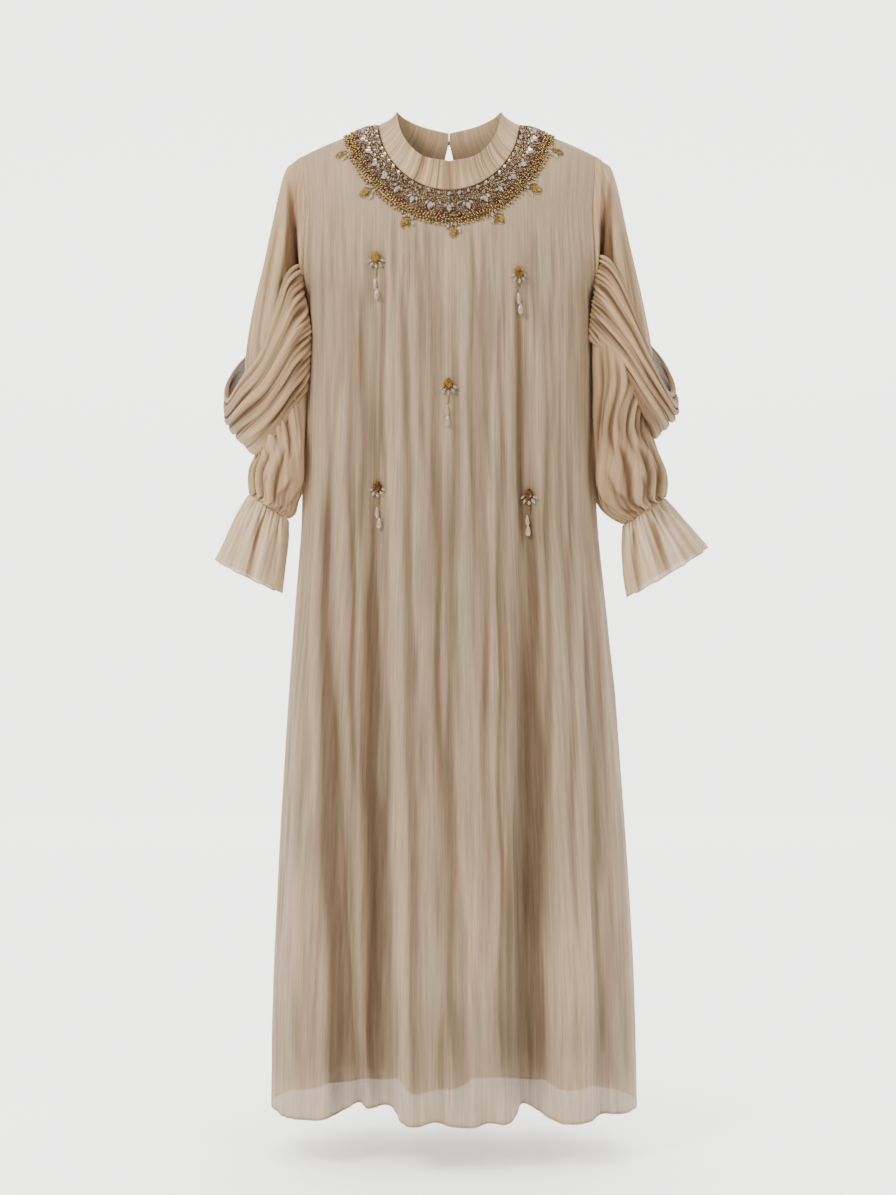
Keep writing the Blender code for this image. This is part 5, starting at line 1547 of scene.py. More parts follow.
def make_sleeves(materials):
    """Upper sleeve, lower sleeve, cuff and sling of both arms."""
    upper, upper_rows, upper_angle = make_upper_sleeve_points()
    upper = against_body(upper)
    sides = (
        ("right", 1.0, LOWER_SLEEVE_RIGHT, CUFF_RIGHT, SLING_RIGHT, 50, 0.26, 0.17),
        ("left", -1.0, LOWER_SLEEVE_LEFT, CUFF_LEFT, SLING_LEFT, 70, 0.24, 0.20),
    )
    for side, sign, lower_rows, cuff_rows, sling_rows, seed, lower_length, sling_width in sides:
        piece = tube_piece("upper_sleeve_chiffon_" + side, upper, upper_rows, upper_angle,
                           UPPER_CREASES, UPPER_SLEEVE_CLOTH, UPPER_SHADE, seed, sign,
                           armhole_shade)
        dress(piece, materials["sleeve"], "sleeve_chiffon", "upper_sleeve_" + side)
        points, rows, angle = hoop_points(
            lower_rows, LOWER_COLUMNS, SLEEVE_STEPS, SLEEVE_FOLDS, WAVE_SHARE
        )
        piece = tube_piece("lower_sleeve_chiffon_" + side, against_body(points), rows, angle,
                           SLEEVE_CREASES, LOWER_SLEEVE_CLOTH, LOWER_SHADE[side], seed + 4,
                           sign)
        dress(piece, materials["sleeve"], "sleeve_chiffon", "lower_sleeve_" + side)
        points, rows, angle = hoop_points(cuff_rows, CUFF_COLUMNS, CUFF_STEPS, CUFF_WAVES)
        piece = tube_piece("cuff_ruffle_" + side, against_body(points), rows, angle,
                           CUFF_CREASES, CUFF_CLOTH, CUFF_SHADE, seed + 8, sign)
        dress(piece, materials["cuff"], "sheer_cuff", "cuff_" + side)
        piece = make_sling("sling_chiffon_" + side, sling_rows, seed + 12, sign,
                           SLING_SHADE[side])
        dress(piece, materials["sleeve"], "sleeve_chiffon", "sling_" + side)


def make_body(materials):
    """Front, back, slip and collar; the front's points carry the drops."""
    piece, front, front_normals = make_panel(
        "front_chiffon", -1.0, FRONT_FOLDS, FRONT_CREASES, FRONT_SHADES, FRONT_COLUMNS, 11
    )
    dress(piece, materials["front"], "taupe_chiffon", "front_panel")
    piece, _, _ = make_panel(
        "back_chiffon", 1.0, BACK_FOLDS, BACK_CREASES, BACK_SHADES, BACK_COLUMNS, 21
    )
    dress(piece, materials["back"], "taupe_chiffon_back", "back_panel")
    piece = make_lining()
    dress(piece, materials["lining"], "lining_crepe", "lining")
    piece = make_collar()
    dress(piece, materials["collar"], "collar_chiffon", "collar")
    return front, front_normals


# Beads and stones: length, width and thickness in metres
SEED_SIZE = (0.0026, 0.0026, 0.0022)
EDGE_BEAD_SIZE = (0.0037, 0.0037, 0.0036)
ROUND_CRYSTAL_SIZE = (0.0064, 0.0064, 0.0038)
SMALL_CRYSTAL_SIZE = (0.0038, 0.0038, 0.0028)
PEAR_CRYSTAL_SIZE = (0.0136, 0.0088, 0.0046)
PETAL_SIZE = (0.0040, 0.0036, 0.0028)
PETAL_RING = 0.0033
# How unevenly beads are sewn: turn in radians, size, tilt
BEAD_TURN = 0.25
BEAD_SIZES = (0.9, 1.1)
BEAD_TILT = 0.2
# A larger stone keeps seed beads off its middle, as a share of its size, and a gap round it
COVER_SHARE = 0.42
COVER_GAP = 0.0008


def cut_stone(sides, table_radius, pointed):
    """Stone with a flat table, round or a pointed oval: length along Y, height along Z."""
    bm = bmesh.new()
    bmesh.ops.create_cone(
        bm, cap_ends=True, segments=sides, radius1=0.5, radius2=table_radius, depth=1.0
    )
    bmesh.ops.translate(bm, verts=bm.verts[:], vec=(0.0, 0.0, 0.5))
    for vert in bm.verts:
        if pointed:
            vert.co.x *= math.sqrt(max(1.0 - (2.0 * abs(vert.co.y)) ** 1.6, 0.02))
    return shape_of(bm)


def faceted_stone():
    return cut_stone(10, 0.26, True)


def round_stone():
    return cut_stone(8, 0.28, False)


def round_bead():
    bm = bmesh.new()
    bmesh.ops.create_icosphere(bm, subdivisions=2, radius=0.5)
    bmesh.ops.translate(bm, verts=bm.verts[:], vec=(0.0, 0.0, 0.3))
    return shape_of(bm, True)


def small_bead():
    bm = bmesh.new()
    bmesh.ops.create_uvsphere(bm, u_segments=6, v_segments=4, radius=0.5)
    bmesh.ops.translate(bm, verts=bm.verts[:], vec=(0.0, 0.0, 0.3))
    return shape_of(bm, True)


def pearl_shape():
    """Pear-shaped pearl, narrow at the top."""
    bm = bmesh.new()
    bmesh.ops.create_uvsphere(bm, u_segments=16, v_segments=12, radius=0.5)
    bmesh.ops.rotate(
        bm, verts=bm.verts[:], cent=(0, 0, 0),
        matrix=Matrix(((1, 0, 0), (0, 0, 1), (0, -1, 0))),
    )
    for vert in bm.verts:
        narrow = 0.55 + 0.45 * smooth(vert.co.y + 0.6)
        vert.co.x *= narrow
        vert.co.z *= narrow
        vert.co.z += 0.1
    return shape_of(bm, True)


def shape_of(bm, smooth_faces=False):
    """Points and faces of a shape that is repeated."""
    bm.verts.index_update()
    points = np.array([tuple(vert.co) for vert in bm.verts])
    faces = [tuple(vert.index for vert in face.verts) for face in bm.faces]
    bm.free()
    return points, faces, smooth_faces


def repeat(shape, places):
    """Copies of a shape at each (point, right, ahead, up, size): points and faces."""
    points, faces, _ = shape
    all_points = []
    all_faces = []
    for number, (point, right, ahead, up, size) in enumerate(places):
        turn = np.stack((right * size[1], ahead * size[0], up * size[2]))
        all_points.append(points @ turn + point)
        start = number * len(points)
        all_faces.extend(tuple(start + index for index in face) for face in faces)
    return np.concatenate(all_points), all_faces


def bead_piece(name, groups):
    """One mesh of several kinds of beads: (shape, places, material number)."""
    points = []
    faces = []
    numbers = []
    smooths = []
    start = 0
    for shape, places, number in groups:
        if not places:
            continue
        made_points, made_faces = repeat(shape, places)
        points.append(made_points)
        faces.extend(tuple(start + index for index in face) for face in made_faces)
        numbers.extend([number] * len(made_faces))
        smooths.extend([shape[2]] * len(made_faces))
        start += len(made_points)
    mesh = bpy.data.meshes.new(name)
    mesh.from_pydata(np.concatenate(points).tolist(), [], faces)
    mesh.polygons.foreach_set("material_index", numbers)
    mesh.polygons.foreach_set("use_smooth", smooths)
    piece = bpy.data.objects.new(name, mesh)
    bpy.context.scene.collection.objects.link(piece)
    return piece


def on_front(row, angle):
    """Point, right, down and outward directions of the front at a row and angle."""
    small = 0.002
    row = np.asarray(row, float)
    angle = np.asarray(angle, float)
    point, _ = panel(-1.0, row, angle, FRONT_FOLDS)
    beside, _ = panel(-1.0, row, angle + small, FRONT_FOLDS)
    before, _ = panel(-1.0, row, angle - small, FRONT_FOLDS)
    below, _ = panel(-1.0, row + small, angle, FRONT_FOLDS)
    right = unit(beside - before)
    outward = unit(np.cross(right, below - point))
    outward = np.where(outward[..., 1:2] > 0.0, -outward, outward)
    down = np.cross(outward, right)
    down = np.where(down[..., 2:3] > 0.0, -down, down)
    return point, right, down, outward


def even_angles(row, spacing, offset=0.0, limit=88.5):
    """Angles of beads that stand a spacing apart along a row of the front."""
    tries = np.radians(np.linspace(-limit, limit, 400))
    line, _ = panel(-1.0, np.full_like(tries, row), tries, FRONT_FOLDS)
    lengths = along(line)
    count = int(lengths[-1] / spacing)
    places = (np.arange(count) + 0.5 + offset) * lengths[-1] / count
    places = places[places < lengths[-1]]
    return np.interp(places, lengths, tries)


def bead_places(row, angles, size, lift, random, spin=None, jitter=0.0):
    """Places for beads on the yoke, a little uneven."""
    rows = np.full_like(angles, row) + random.uniform(-jitter, jitter, len(angles))
    point, right, down, outward = on_front(rows, angles)
    places = []
    for number in range(len(angles)):
        turn = random.uniform(-BEAD_TURN, BEAD_TURN) if spin is None else spin[number]
        ahead = down[number] * math.cos(turn) + right[number] * math.sin(turn)
        across = np.cross(ahead, outward[number])
        scale = random.uniform(*BEAD_SIZES)
        tilt = unit(outward[number] + right[number] * random.uniform(-BEAD_TILT, BEAD_TILT))
        places.append(
            (point[number] + outward[number] * lift, across, ahead, tilt,
             tuple(side * scale for side in size))
        )
    return places


# Beaded yoke: its ground, then rows, spacings and lifts of its beads in metres
YOKE_SEED = 7
YOKE_GROUND_LIFT = 0.0007
YOKE_GROUND_THICKNESS = 0.0004
YOKE_GROUND_ROWS = 16
YOKE_GROUND_COLUMNS = 161
YOKE_ROW_LENGTH = 0.015
BEAD_LIFT = 0.0009
CRYSTAL_LIFT = 0.0012
PETAL_LIFT = 0.0013
CLUSTER_LIFT = 0.0014
HEART_LIFT = 0.0022
SEED_SPACING = 0.0029
SEED_ROW_STEP = 0.165
INNER_EDGE_ROW = 0.05
INNER_EDGE_SPACING = 0.0027
CRYSTAL_ROW = 0.38
CRYSTAL_SPACING = 0.0135
SPRINKLE_ROW = 0.95
SPRINKLE_SPACING = 0.0160
CLUSTER_ROW = 1.72
CLUSTER_SPACING = 0.385 / 15
CLUSTER_TOP_ROW = 1.30
CLUSTER_SIDE_SIZE = 0.80
CLUSTER_FRONT_GROWTH = 0.30
CLUSTER_TURN = 0.12
FLOWER_ROW = 2.30
PETALS = 6
PETAL_ROW_LENGTH = 0.016
EDGE_ROWS = (2.50, 2.75, 3.00)
EDGE_SPACING = 0.0045
SCALLOP_ROW = 3.14
SCALLOP_SPACING = 1.5 * EDGE_SPACING
SPRINKLE_JITTER = 0.20
CLUSTER_JITTER = 0.04
EDGE_JITTER = 0.08
SCALLOP_JITTER = 0.02
SEED_JITTER = 0.045
# Seed beads that are light, gold and dark, as shares added up; the rest are left out
SEED_SHARES = (0.34, 0.70, 0.92)

# Stones of a cluster: rows down, metres aside, turn, size as a share of the large stone
CLUSTER_STONES = (
    (0.00, 0.0000, 0.0, 1.00),
    (-0.24, -0.0062, -0.55, 0.58),
    (-0.24, 0.0062, 0.55, 0.58),
)
SETTING_GROWTH = 1.24
SETTING_DROP = 0.0004
SETTING_HEIGHT = 0.55


def settings_under(stones):
    """Dark metal settings, a little wider than the stones they hold."""
    return [
        (point - up * SETTING_DROP, right, ahead, up,
         (size[0] * SETTING_GROWTH, size[1] * SETTING_GROWTH, size[2] * SETTING_HEIGHT))
        for point, right, ahead, up, size in stones
    ]


def clear_places(places, stones):
    """The places that no larger stone covers."""
    middles = np.array([stone[0] for stone in stones])
    reach = np.array([COVER_SHARE * sum(stone[4][:2]) / 2.0 for stone in stones])
    kept = []
    for place in places:
        away = np.linalg.norm(middles - place[0], axis=1)
        if np.all(away > reach + COVER_GAP):
            kept.append(place)
    return kept


def yoke_stones(random):
    """Places of all the larger beads and stones of the yoke, by kind."""
    crystals = bead_places(
        CRYSTAL_ROW, even_angles(CRYSTAL_ROW, CRYSTAL_SPACING), ROUND_CRYSTAL_SIZE,
        CRYSTAL_LIFT, random,
    )
    small = bead_places(
        SPRINKLE_ROW, even_angles(SPRINKLE_ROW, SPRINKLE_SPACING, 0.5), SMALL_CRYSTAL_SIZE,
        CRYSTAL_LIFT, random, jitter=SPRINKLE_JITTER,
    )
    middles = even_angles(CLUSTER_ROW, CLUSTER_SPACING)
    between = (middles[:-1] + middles[1:]) / 2.0
    arc = CLUSTER_SPACING / (middles[1] - middles[0])
    leaves = []
    for middle in middles:
        front = CLUSTER_SIDE_SIZE + CLUSTER_FRONT_GROWTH * math.cos(middle)
        for down, aside, turn, share in CLUSTER_STONES:
            size = tuple(side * front * share for side in PEAR_CRYSTAL_SIZE)
            spot = np.array([middle + aside * front / arc])
            spin = (turn + random.uniform(-CLUSTER_TURN, CLUSTER_TURN),)
            leaves += bead_places(
                CLUSTER_ROW + down, spot, size, CLUSTER_LIFT, random, spin, CLUSTER_JITTER
            )
    small += bead_places(CLUSTER_TOP_ROW, between, SMALL_CRYSTAL_SIZE, CLUSTER_LIFT, random)
    garnets = []
    hearts = bead_places(FLOWER_ROW, between, SEED_SIZE, HEART_LIFT, random)
    for middle in between:
        for turn in np.arange(PETALS) * math.tau / PETALS:
            ring_row = FLOWER_ROW + PETAL_RING / PETAL_ROW_LENGTH * math.sin(turn)
            ring_angle = np.array([middle + PETAL_RING / arc * math.cos(turn)])
            garnets += bead_places(ring_row, ring_angle, PETAL_SIZE, PETAL_LIFT, random)
    edge = []
    for number, edge_row in enumerate(EDGE_ROWS):
        spaced = even_angles(edge_row, EDGE_SPACING, 0.5 * (number % 2))
        edge += bead_places(
            edge_row, spaced, EDGE_BEAD_SIZE, BEAD_LIFT, random, jitter=EDGE_JITTER
        )
    scallops = even_angles(SCALLOP_ROW, SCALLOP_SPACING)
    edge += bead_places(
        SCALLOP_ROW, scallops, EDGE_BEAD_SIZE, BEAD_LIFT, random, jitter=SCALLOP_JITTER
    )
    inner = even_angles(INNER_EDGE_ROW, INNER_EDGE_SPACING)
    dark = bead_places(INNER_EDGE_ROW, inner, SEED_SIZE, BEAD_LIFT, random)
    return crystals, small, leaves, garnets, hearts, edge, dark


def make_yoke(materials):
    rows = np.linspace(0.0, YOKE_ROW, YOKE_GROUND_ROWS)
    angles = np.linspace(-QUARTER, QUARTER, YOKE_GROUND_COLUMNS)
    row, angle = np.meshgrid(rows, angles, indexing="ij")
    points, _ = panel(-1.0, row, angle, FRONT_FOLDS)
    normals = normals_of(points)
    points = points + normals * YOKE_GROUND_LIFT
    flat = (along(points[-1]), row * YOKE_ROW_LENGTH)
    ground = cloth("yoke_ground", points, flat, {}, normals, YOKE_GROUND_THICKNESS)
    dress(ground, materials["ground"], "beadwork", "yoke_beadwork")
    random = np.random.default_rng(YOKE_SEED)
    crystals, small, leaves, garnets, hearts, edge, dark = yoke_stones(random)
    stones = crystals + small + leaves + garnets + hearts + edge + dark
    light = []
    gold = []
    for number in range(1, int(YOKE_ROW / SEED_ROW_STEP)):
        seed_row = number * SEED_ROW_STEP
        spaced = even_angles(seed_row, SEED_SPACING, 0.5 * (number % 2))
        places = bead_places(
            seed_row, spaced, SEED_SIZE, BEAD_LIFT, random, jitter=SEED_JITTER
        )
        for place in clear_places(places, stones):
            pick = random.uniform()
            for share, kind in zip(SEED_SHARES, (light, gold, dark)):
                if pick < share:
                    kind.append(place)
                    break
    piece = bead_piece(
        "yoke_seed_beads",
        [
            (small_bead(), light + hearts, 0),
            (small_bead(), gold, 1),
            (small_bead(), dark, 2),
            (small_bead(), edge, 3),
        ],
    )
    dress(piece, [materials["champagne"], materials["seed"], materials["bronze"],
                  materials["gold"]], "beadwork")
    piece = bead_piece(
        "yoke_crystals",
        [
            (round_stone(), crystals + small, 0),
            (faceted_stone(), leaves, 0),
            (round_stone(), settings_under(crystals + small), 1),
            (faceted_stone(), settings_under(leaves), 1),
        ],
    )
    dress(piece, [materials["crystal"], materials["bronze"]], "beadwork")
    piece = bead_piece("yoke_garnet_beads", [(round_bead(), garnets, 0)])
    dress(piece, materials["garnet"], "beadwork")


# Fan motifs: name, angle round the band in degrees, side the clear leaf stands on
MOTIFS = (
    ("motif_far_left", -72.0, 1.0),
    ("motif_left", -46.0, 1.0),
    ("motif_middle_left", -21.0, 1.0),
    ("motif_centre", 2.4, 0.0),
    ("motif_middle_right", 25.0, -1.0),
    ("motif_right", 48.5, -1.0),
    ("motif_far_right", 74.0, -1.0),
)
STONE_LIFT = 0.0010
SMALL_STONE_LIFT = 0.0008
MOTIF_REACH = 0.0098
MOTIF_SCALE = 1.22
MOTIF_SPAN = 0.008
MOTIF_AMBER_SIZE = (0.0118, 0.0084, 0.0036)
MOTIF_AMBER_PLACE = (-0.0022, 0.0036)
MOTIF_AMBER_TURN = -0.25
MOTIF_RIM = (0.0052, 0.0069)
MOTIF_RIM_BEADS = 16
MOTIF_RIM_BEAD_SIZE = (0.0014, 0.0014, 0.0016)
MOTIF_RIM_LIFT = 0.0006
MOTIF_BASE_BEADS = 6
MOTIF_BASE_STEP = 0.0020
MOTIF_BASE_START = -0.0050
MOTIF_BASE_DOWN = -0.0098
MOTIF_BASE_BEAD_SIZE = (0.0020, 0.0020, 0.0018)
# Leaf stones of a motif: metres aside, metres down, turn, size
MOTIF_LEAVES = (
    (0.0058, 0.0010, 0.35, (0.0104, 0.0046, 0.0028)),
    (-0.0066, -0.0030, -0.70, (0.0076, 0.0040, 0.0026)),
    (0.0024, -0.0056, 0.20, (0.0078, 0.0040, 0.0026)),
    (-0.0022, -0.0062, -0.30, (0.0072, 0.0038, 0.0026)),
)

# Hanging drops: name, x, z of the top, lean of the pearls, amber
DROPS = (
    ("drop_top_left", -0.1006, -0.1796, 0.0, "yellow_amber"),
    ("drop_top_right", 0.0959, -0.2002, 0.0, "amber"),
    ("drop_middle", -0.0008, -0.3558, -1.0, "amber"),
    ("drop_low_left", -0.0981, -0.4974, 0.4, "dark_amber"),
    ("drop_low_right", 0.1118, -0.5081, -1.0, "dark_amber"),
)


def beside_yoke(angle):
    """Middle of a motif just off the band's lower edge, and its turn."""
    point, right, down, _ = on_front(YOKE_ROW, angle)
    out = down[[0, 2]] / np.hypot(down[0], down[2])
    x = point[0] + out[0] * MOTIF_REACH
    z = point[2] + out[1] * MOTIF_REACH
    return x, z, math.atan2(out[0], -out[1])


def front_y(tree, x, z):
    return tree.ray_cast(Vector((x, -1.0, z)), Vector((0.0, 1.0, 0.0)))[0].y


def lying_frame(tree, x, z, turn, aside=MOTIF_SPAN, below=MOTIF_SPAN):
    """Point and directions (across, along, outward) of a small piece laid on the front."""
    here = Vector((x, front_y(tree, x, z), z))
    right = Vector((2.0 * aside, front_y(tree, x + aside, z) - front_y(tree, x - aside, z), 0.0))
    down = Vector((x, front_y(tree, x, z - below), z - below)) - here
    outward = right.cross(down).normalized()
    if outward.y > 0.0:
        outward = -outward
    right = (right - outward * right.dot(outward)).normalized()
    down = right.cross(outward)
    if down.z > 0.0:
        down = -down
    along_piece = down * math.cos(turn) + right * math.sin(turn)
    across = right * math.cos(turn) - down * math.sin(turn)
    return np.array(here), np.array(across), np.array(along_piece), np.array(outward)


def laid_over_folds(tree, frame_of, half_width, length):
    """The frame of a small piece moved outward until no fold stands through it."""
    here, across, ahead, outward = frame_of
    most = 0.0
    for aside in (-1.0, -0.5, 0.0, 0.5, 1.0):
        for step in range(9):
            place = here + across * aside * half_width + ahead * length * step / 8.0
            hit = tree.ray_cast(Vector(place + outward * 0.05), Vector(-outward))[0]
            if hit:
                most = max(most, float((np.array(hit) - place) @ outward))
    return here + outward * most, across, ahead, outward


def set_stone(frame_of, side, length, turn, size, lift=STONE_LIFT):
    """Place of a stone on a small piece: aside, along, its own turn and size."""
    here, across, ahead, outward = frame_of
    point = here + across * side + ahead * length + outward * lift
    direction = ahead * math.cos(turn) + across * math.sin(turn)
    beside = np.cross(direction, outward)
    return point, beside, direction, outward, size


def motif_stone(frame_of, side, length, turn, size, lift=STONE_LIFT):
    size = tuple(extent * MOTIF_SCALE for extent in size)
    return set_stone(frame_of, side * MOTIF_SCALE, length * MOTIF_SCALE, turn, size, lift)


def bead_ring(place, frame_of, middle, reach, count, size, lift):
    """Beads round an oval: its middle and half extents are metres aside and down."""
    turns = [math.tau * number / count for number in range(count)]
    return [
        place(frame_of, middle[0] + reach[0] * math.sin(turn),
              middle[1] + reach[1] * math.cos(turn), 0.0, size, lift)
        for turn in turns
    ]


def make_motifs(tree, materials):
    for name, degrees, side in MOTIFS:
        x, z, turn = beside_yoke(math.radians(degrees))
        at = lying_frame(tree, x, z, turn)
        hand = side or 1.0
        middle = (MOTIF_AMBER_PLACE[0] * side, MOTIF_AMBER_PLACE[1])
        amber = [motif_stone(at, *middle, MOTIF_AMBER_TURN * side, MOTIF_AMBER_SIZE)]
        clear = [
            motif_stone(at, aside * hand, down, leaf_turn * hand, size)
            for aside, down, leaf_turn, size in MOTIF_LEAVES
        ]
        seeds = bead_ring(motif_stone, at, middle, MOTIF_RIM, MOTIF_RIM_BEADS,
                          MOTIF_RIM_BEAD_SIZE, MOTIF_RIM_LIFT)
        for number in range(MOTIF_BASE_BEADS):
            aside = MOTIF_BASE_START + MOTIF_BASE_STEP * number
            seeds.append(motif_stone(at, aside, MOTIF_BASE_DOWN, 0.0, MOTIF_BASE_BEAD_SIZE,
                                     SMALL_STONE_LIFT))
        groups = [(faceted_stone(), amber, 0), (faceted_stone(), clear, 1),
                  (small_bead(), seeds, 2)]
        piece = bead_piece(name + "_stones", groups)
        dress(piece, [materials["yellow_amber"], materials["crystal"], materials["brass"]],
              "amber_and_crystal", name)


# Leaf stones of a drop's crown: metres aside, metres down, turn, length
CROWN_LEAVES = (
    (-0.0088, 0.0122, -1.05, 0.0086),
    (-0.0060, 0.0172, -0.62, 0.0098),
    (0.0000, 0.0200, 0.00, 0.0086),
    (0.0060, 0.0172, 0.62, 0.0098),
    (0.0088, 0.0122, 1.05, 0.0086),
)
CROWN_LEAF_SIZE = (0.0050, 0.0034)
# Beads of a drop's stem: metres aside at full lean, metres down, size
DROP_STEM = (
    (0.0000, 0.0262, (0.0032, 0.0032, 0.0028)),
    (0.0000, 0.0292, (0.0026, 0.0026, 0.0024)),
    (0.0003, 0.0319, (0.0024, 0.0024, 0.0022)),
    (0.0006, 0.0344, (0.0022, 0.0022, 0.0022)),
)
# Pearls of a drop: metres aside at full lean, metres aside, metres down, turn, size, lift
DROP_PEARLS = (
    (0.0012, -0.0012, 0.0445, 0.05, (0.0165, 0.0062, 0.0058), 0.0024),
    (0.0030, 0.0014, 0.0588, -0.05, (0.0155, 0.0084, 0.0074), 0.0030),
)
DROP_SPAN_ASIDE = 0.010
DROP_SPAN_DOWN = 0.058
DROP_HALF_WIDTH = 0.0085
DROP_LENGTH = 0.062
DROP_AMBER_DOWN = 0.0082
DROP_AMBER_SIZE = (0.0164, 0.0132, 0.0056)
DROP_RIM = (0.0071, 0.0087)
DROP_RIM_BEADS = 22
DROP_RIM_BEAD_SIZE = (0.0016, 0.0016, 0.0020)


def make_drops(tree, materials):
    for name, x, z, lean, amber_name in DROPS:
        at = lying_frame(tree, x, z, 0.0, DROP_SPAN_ASIDE, DROP_SPAN_DOWN)
        at = laid_over_folds(tree, at, DROP_HALF_WIDTH, DROP_LENGTH)
        amber = [set_stone(at, 0.0, DROP_AMBER_DOWN, 0.0, DROP_AMBER_SIZE)]
        clear = [
            set_stone(at, aside, down, turn, (length, *CROWN_LEAF_SIZE), SMALL_STONE_LIFT)
            for aside, down, turn, length in CROWN_LEAVES
        ]
        stem = [set_stone(at, aside * lean, down, 0.0, size) for aside, down, size in DROP_STEM]
        pearls = [
            set_stone(at, leaning * lean + aside, down, turn, size, lift)
            for leaning, aside, down, turn, size, lift in DROP_PEARLS
        ]
        rim = bead_ring(set_stone, at, (0.0, DROP_AMBER_DOWN), DROP_RIM, DROP_RIM_BEADS,
                        DROP_RIM_BEAD_SIZE, SMALL_STONE_LIFT)
        groups = [(faceted_stone(), amber, 0), (faceted_stone(), clear, 1),
                  (small_bead(), stem + rim, 2), (pearl_shape(), pearls, 3)]
        piece = bead_piece(name + "_jewel", groups)
        dress(piece, [materials[amber_name], materials["crystal"], materials["brass"],
                      materials["pearl"]], "crystal_and_pearl", name)


# Button and cord loop at the back of the collar
BUTTON_RADIUS = 0.0032
BUTTON_HEIGHT = -0.0030
BUTTON_REST = 0.0558
LOOP_RADIUS = 0.0050
LOOP_CORD_RADIUS = 0.0006
LOOP_REST = 0.0543
LOOP_SLOPE = 28.0


def make_fastening(materials):
    bm = bmesh.new()
    bmesh.ops.create_uvsphere(bm, u_segments=24, v_segments=16, radius=BUTTON_RADIUS)
    bmesh.ops.translate(bm, verts=bm.verts[:], vec=(0.0, BUTTON_REST, BUTTON_HEIGHT))
    button = finished(bm, "metal_ball_button", True)
    dress(button, materials["brass"], "aged_brass", "collar_button")
    bm = bmesh.new()
    bmesh.ops.create_circle(bm, segments=12, radius=LOOP_CORD_RADIUS)
    bmesh.ops.rotate(
        bm, verts=bm.verts[:], cent=(0, 0, 0), matrix=Matrix(((1, 0, 0), (0, 0, -1), (0, 1, 0)))
    )
    bmesh.ops.translate(bm, verts=bm.verts[:], vec=(LOOP_RADIUS, 0.0, 0.0))
    bmesh.ops.spin(
        bm, geom=bm.edges[:] + bm.verts[:], cent=(0, 0, 0), axis=(0, 0, 1), dvec=(0, 0, 0),
        angle=math.tau, steps=48, use_merge=True,
    )
    slope = math.radians(90.0 + LOOP_SLOPE)
    turn = ((1, 0, 0), (0, math.cos(slope), -math.sin(slope)),
            (0, math.sin(slope), math.cos(slope)))
    bmesh.ops.rotate(bm, verts=bm.verts[:], cent=(0, 0, 0), matrix=Matrix(turn))
    bmesh.ops.translate(bm, verts=bm.verts[:], vec=(0.0, LOOP_REST, BUTTON_HEIGHT))
    bmesh.ops.remove_doubles(bm, verts=bm.verts[:], dist=0.000001)
    bmesh.ops.recalc_face_normals(bm, faces=bm.faces[:])
    loop = finished(bm, "cord_button_loop", True)
    dress(loop, materials["collar"], "cord", "button_loop")


def make_camera():
    data = bpy.data.cameras.new("camera")
    camera = bpy.data.objects.new("camera", data)
    bpy.context.scene.collection.objects.link(camera)
    camera.location = (0.0, -EYE_DISTANCE, EYE_HEIGHT)
    camera.rotation_euler = (math.pi / 2.0, 0.0, 0.0)
    data.sensor_width = SENSOR
    data.lens = SENSOR * EYE_DISTANCE / (IMAGE_HEIGHT * METRES_PER_PIXEL)
    seen_height = IMAGE_HEIGHT * METRES_PER_PIXEL
    data.shift_x = (IMAGE_WIDTH / 2.0 - ORIGIN_PIXEL_X) * METRES_PER_PIXEL / seen_height
    middle = (ORIGIN_PIXEL_Y - IMAGE_HEIGHT / 2.0) * METRES_PER_PIXEL
    data.shift_y = (middle - EYE_HEIGHT) / seen_height
    bpy.context.scene.camera = camera


def area_light(name, place, target, size, power, colour):
    data = bpy.data.lights.new(name, "AREA")
    data.shape = "DISK"
    data.size = size
    data.energy = power
    data.color = colour
    light = bpy.data.objects.new(name, data)
    light.location = place
    light.rotation_euler = (Vector(target) - Vector(place)).to_track_quat("-Z", "Y").to_euler()
    bpy.context.scene.collection.objects.link(light)


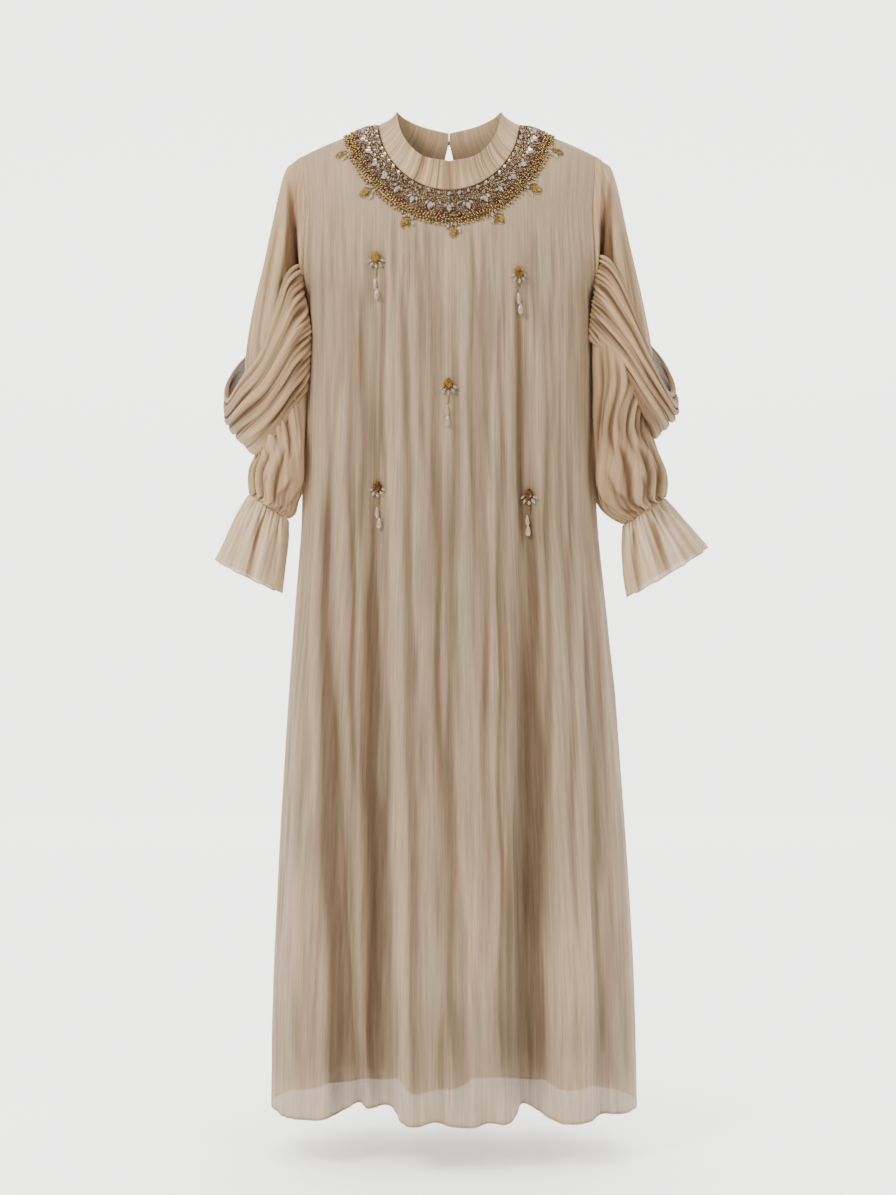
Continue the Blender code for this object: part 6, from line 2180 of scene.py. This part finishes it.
def make_stage_form():
    """Studio sweep: level floor that rises behind in one wide curve."""
    bm = bmesh.new()
    bmesh.ops.create_grid(bm, x_segments=1, y_segments=96, size=1.0)
    arc = SWEEP_RADIUS * QUARTER
    total = SWEEP_BACK - SWEEP_FRONT + arc + SWEEP_RISE
    for vert in bm.verts:
        length = SWEEP_FRONT + (vert.co.y + 1.0) / 2.0 * total
        past = length - SWEEP_BACK
        turn = min(max(past, 0.0), arc) / SWEEP_RADIUS
        y = min(length, SWEEP_BACK) + SWEEP_RADIUS * math.sin(turn)
        z = SWEEP_RADIUS * (1.0 - math.cos(turn)) + max(past - arc, 0.0)
        vert.co = (vert.co.x * SWEEP_HALF_WIDTH, y, FLOOR_HEIGHT + z)
    return finished(bm, "studio_floor", True)


def backlit_acrylic():
    """White acrylic lit from behind: matt, dimmer towards the camera, and darkened beneath the
    garment by a painted shadow.
    """
    material, tree, shader = new_material("backlit_white_acrylic_with_painted_shadow")
    place = node(tree, "ShaderNodeTexCoord")
    parts = node(tree, "ShaderNodeSeparateXYZ", {"Vector": (place, "Object")})
    glow = node(
        tree,
        "ShaderNodeMapRange",
        {"Value": (parts, "Y"), "From Min": GLOW_START, "From Max": GLOW_FULL, "To Min": 0.0,
         "To Max": STAGE_GLOW},
        interpolation_type="SMOOTHSTEP",
    )
    # Painted shadow: ambient occlusion darkens the glow beneath the garment
    under = node(tree, "ShaderNodeAmbientOcclusion", {"Distance": SHADOW_REACH}, samples=8)
    glow_with_painted_shadow = node(
        tree, "ShaderNodeMath", {0: (glow, "Result"), 1: (under, "AO")}, operation="MULTIPLY"
    )
    connect(tree, shader, {
        "Base Color": linear("e4e4e2"), "Roughness": 1.0, "Specular IOR Level": 0.0,
        "Emission Color": linear("f6f6f4"), "Emission Strength": (glow_with_painted_shadow, "Value"),
    })
    return material


def make_studio():
    world = bpy.data.worlds.new("studio")
    world.use_nodes = True
    background = world.node_tree.nodes["Background"]
    background.inputs["Color"].default_value = linear("f2f1ef")
    background.inputs["Strength"].default_value = WORLD_STRENGTH
    bpy.context.scene.world = world
    for lamp in LAMPS:
        area_light(*lamp)
    floor = make_stage_form()
    floor.data.materials.append(backlit_acrylic())


def main():
    materials = make_materials()
    make_camera()
    make_studio()
    front, front_normals = make_body(materials)
    make_sleeves(materials)
    make_yoke(materials)
    tree = tree_of(front)
    make_motifs(tree, materials)
    make_drops(tree, materials)
    make_fastening(materials)


main()
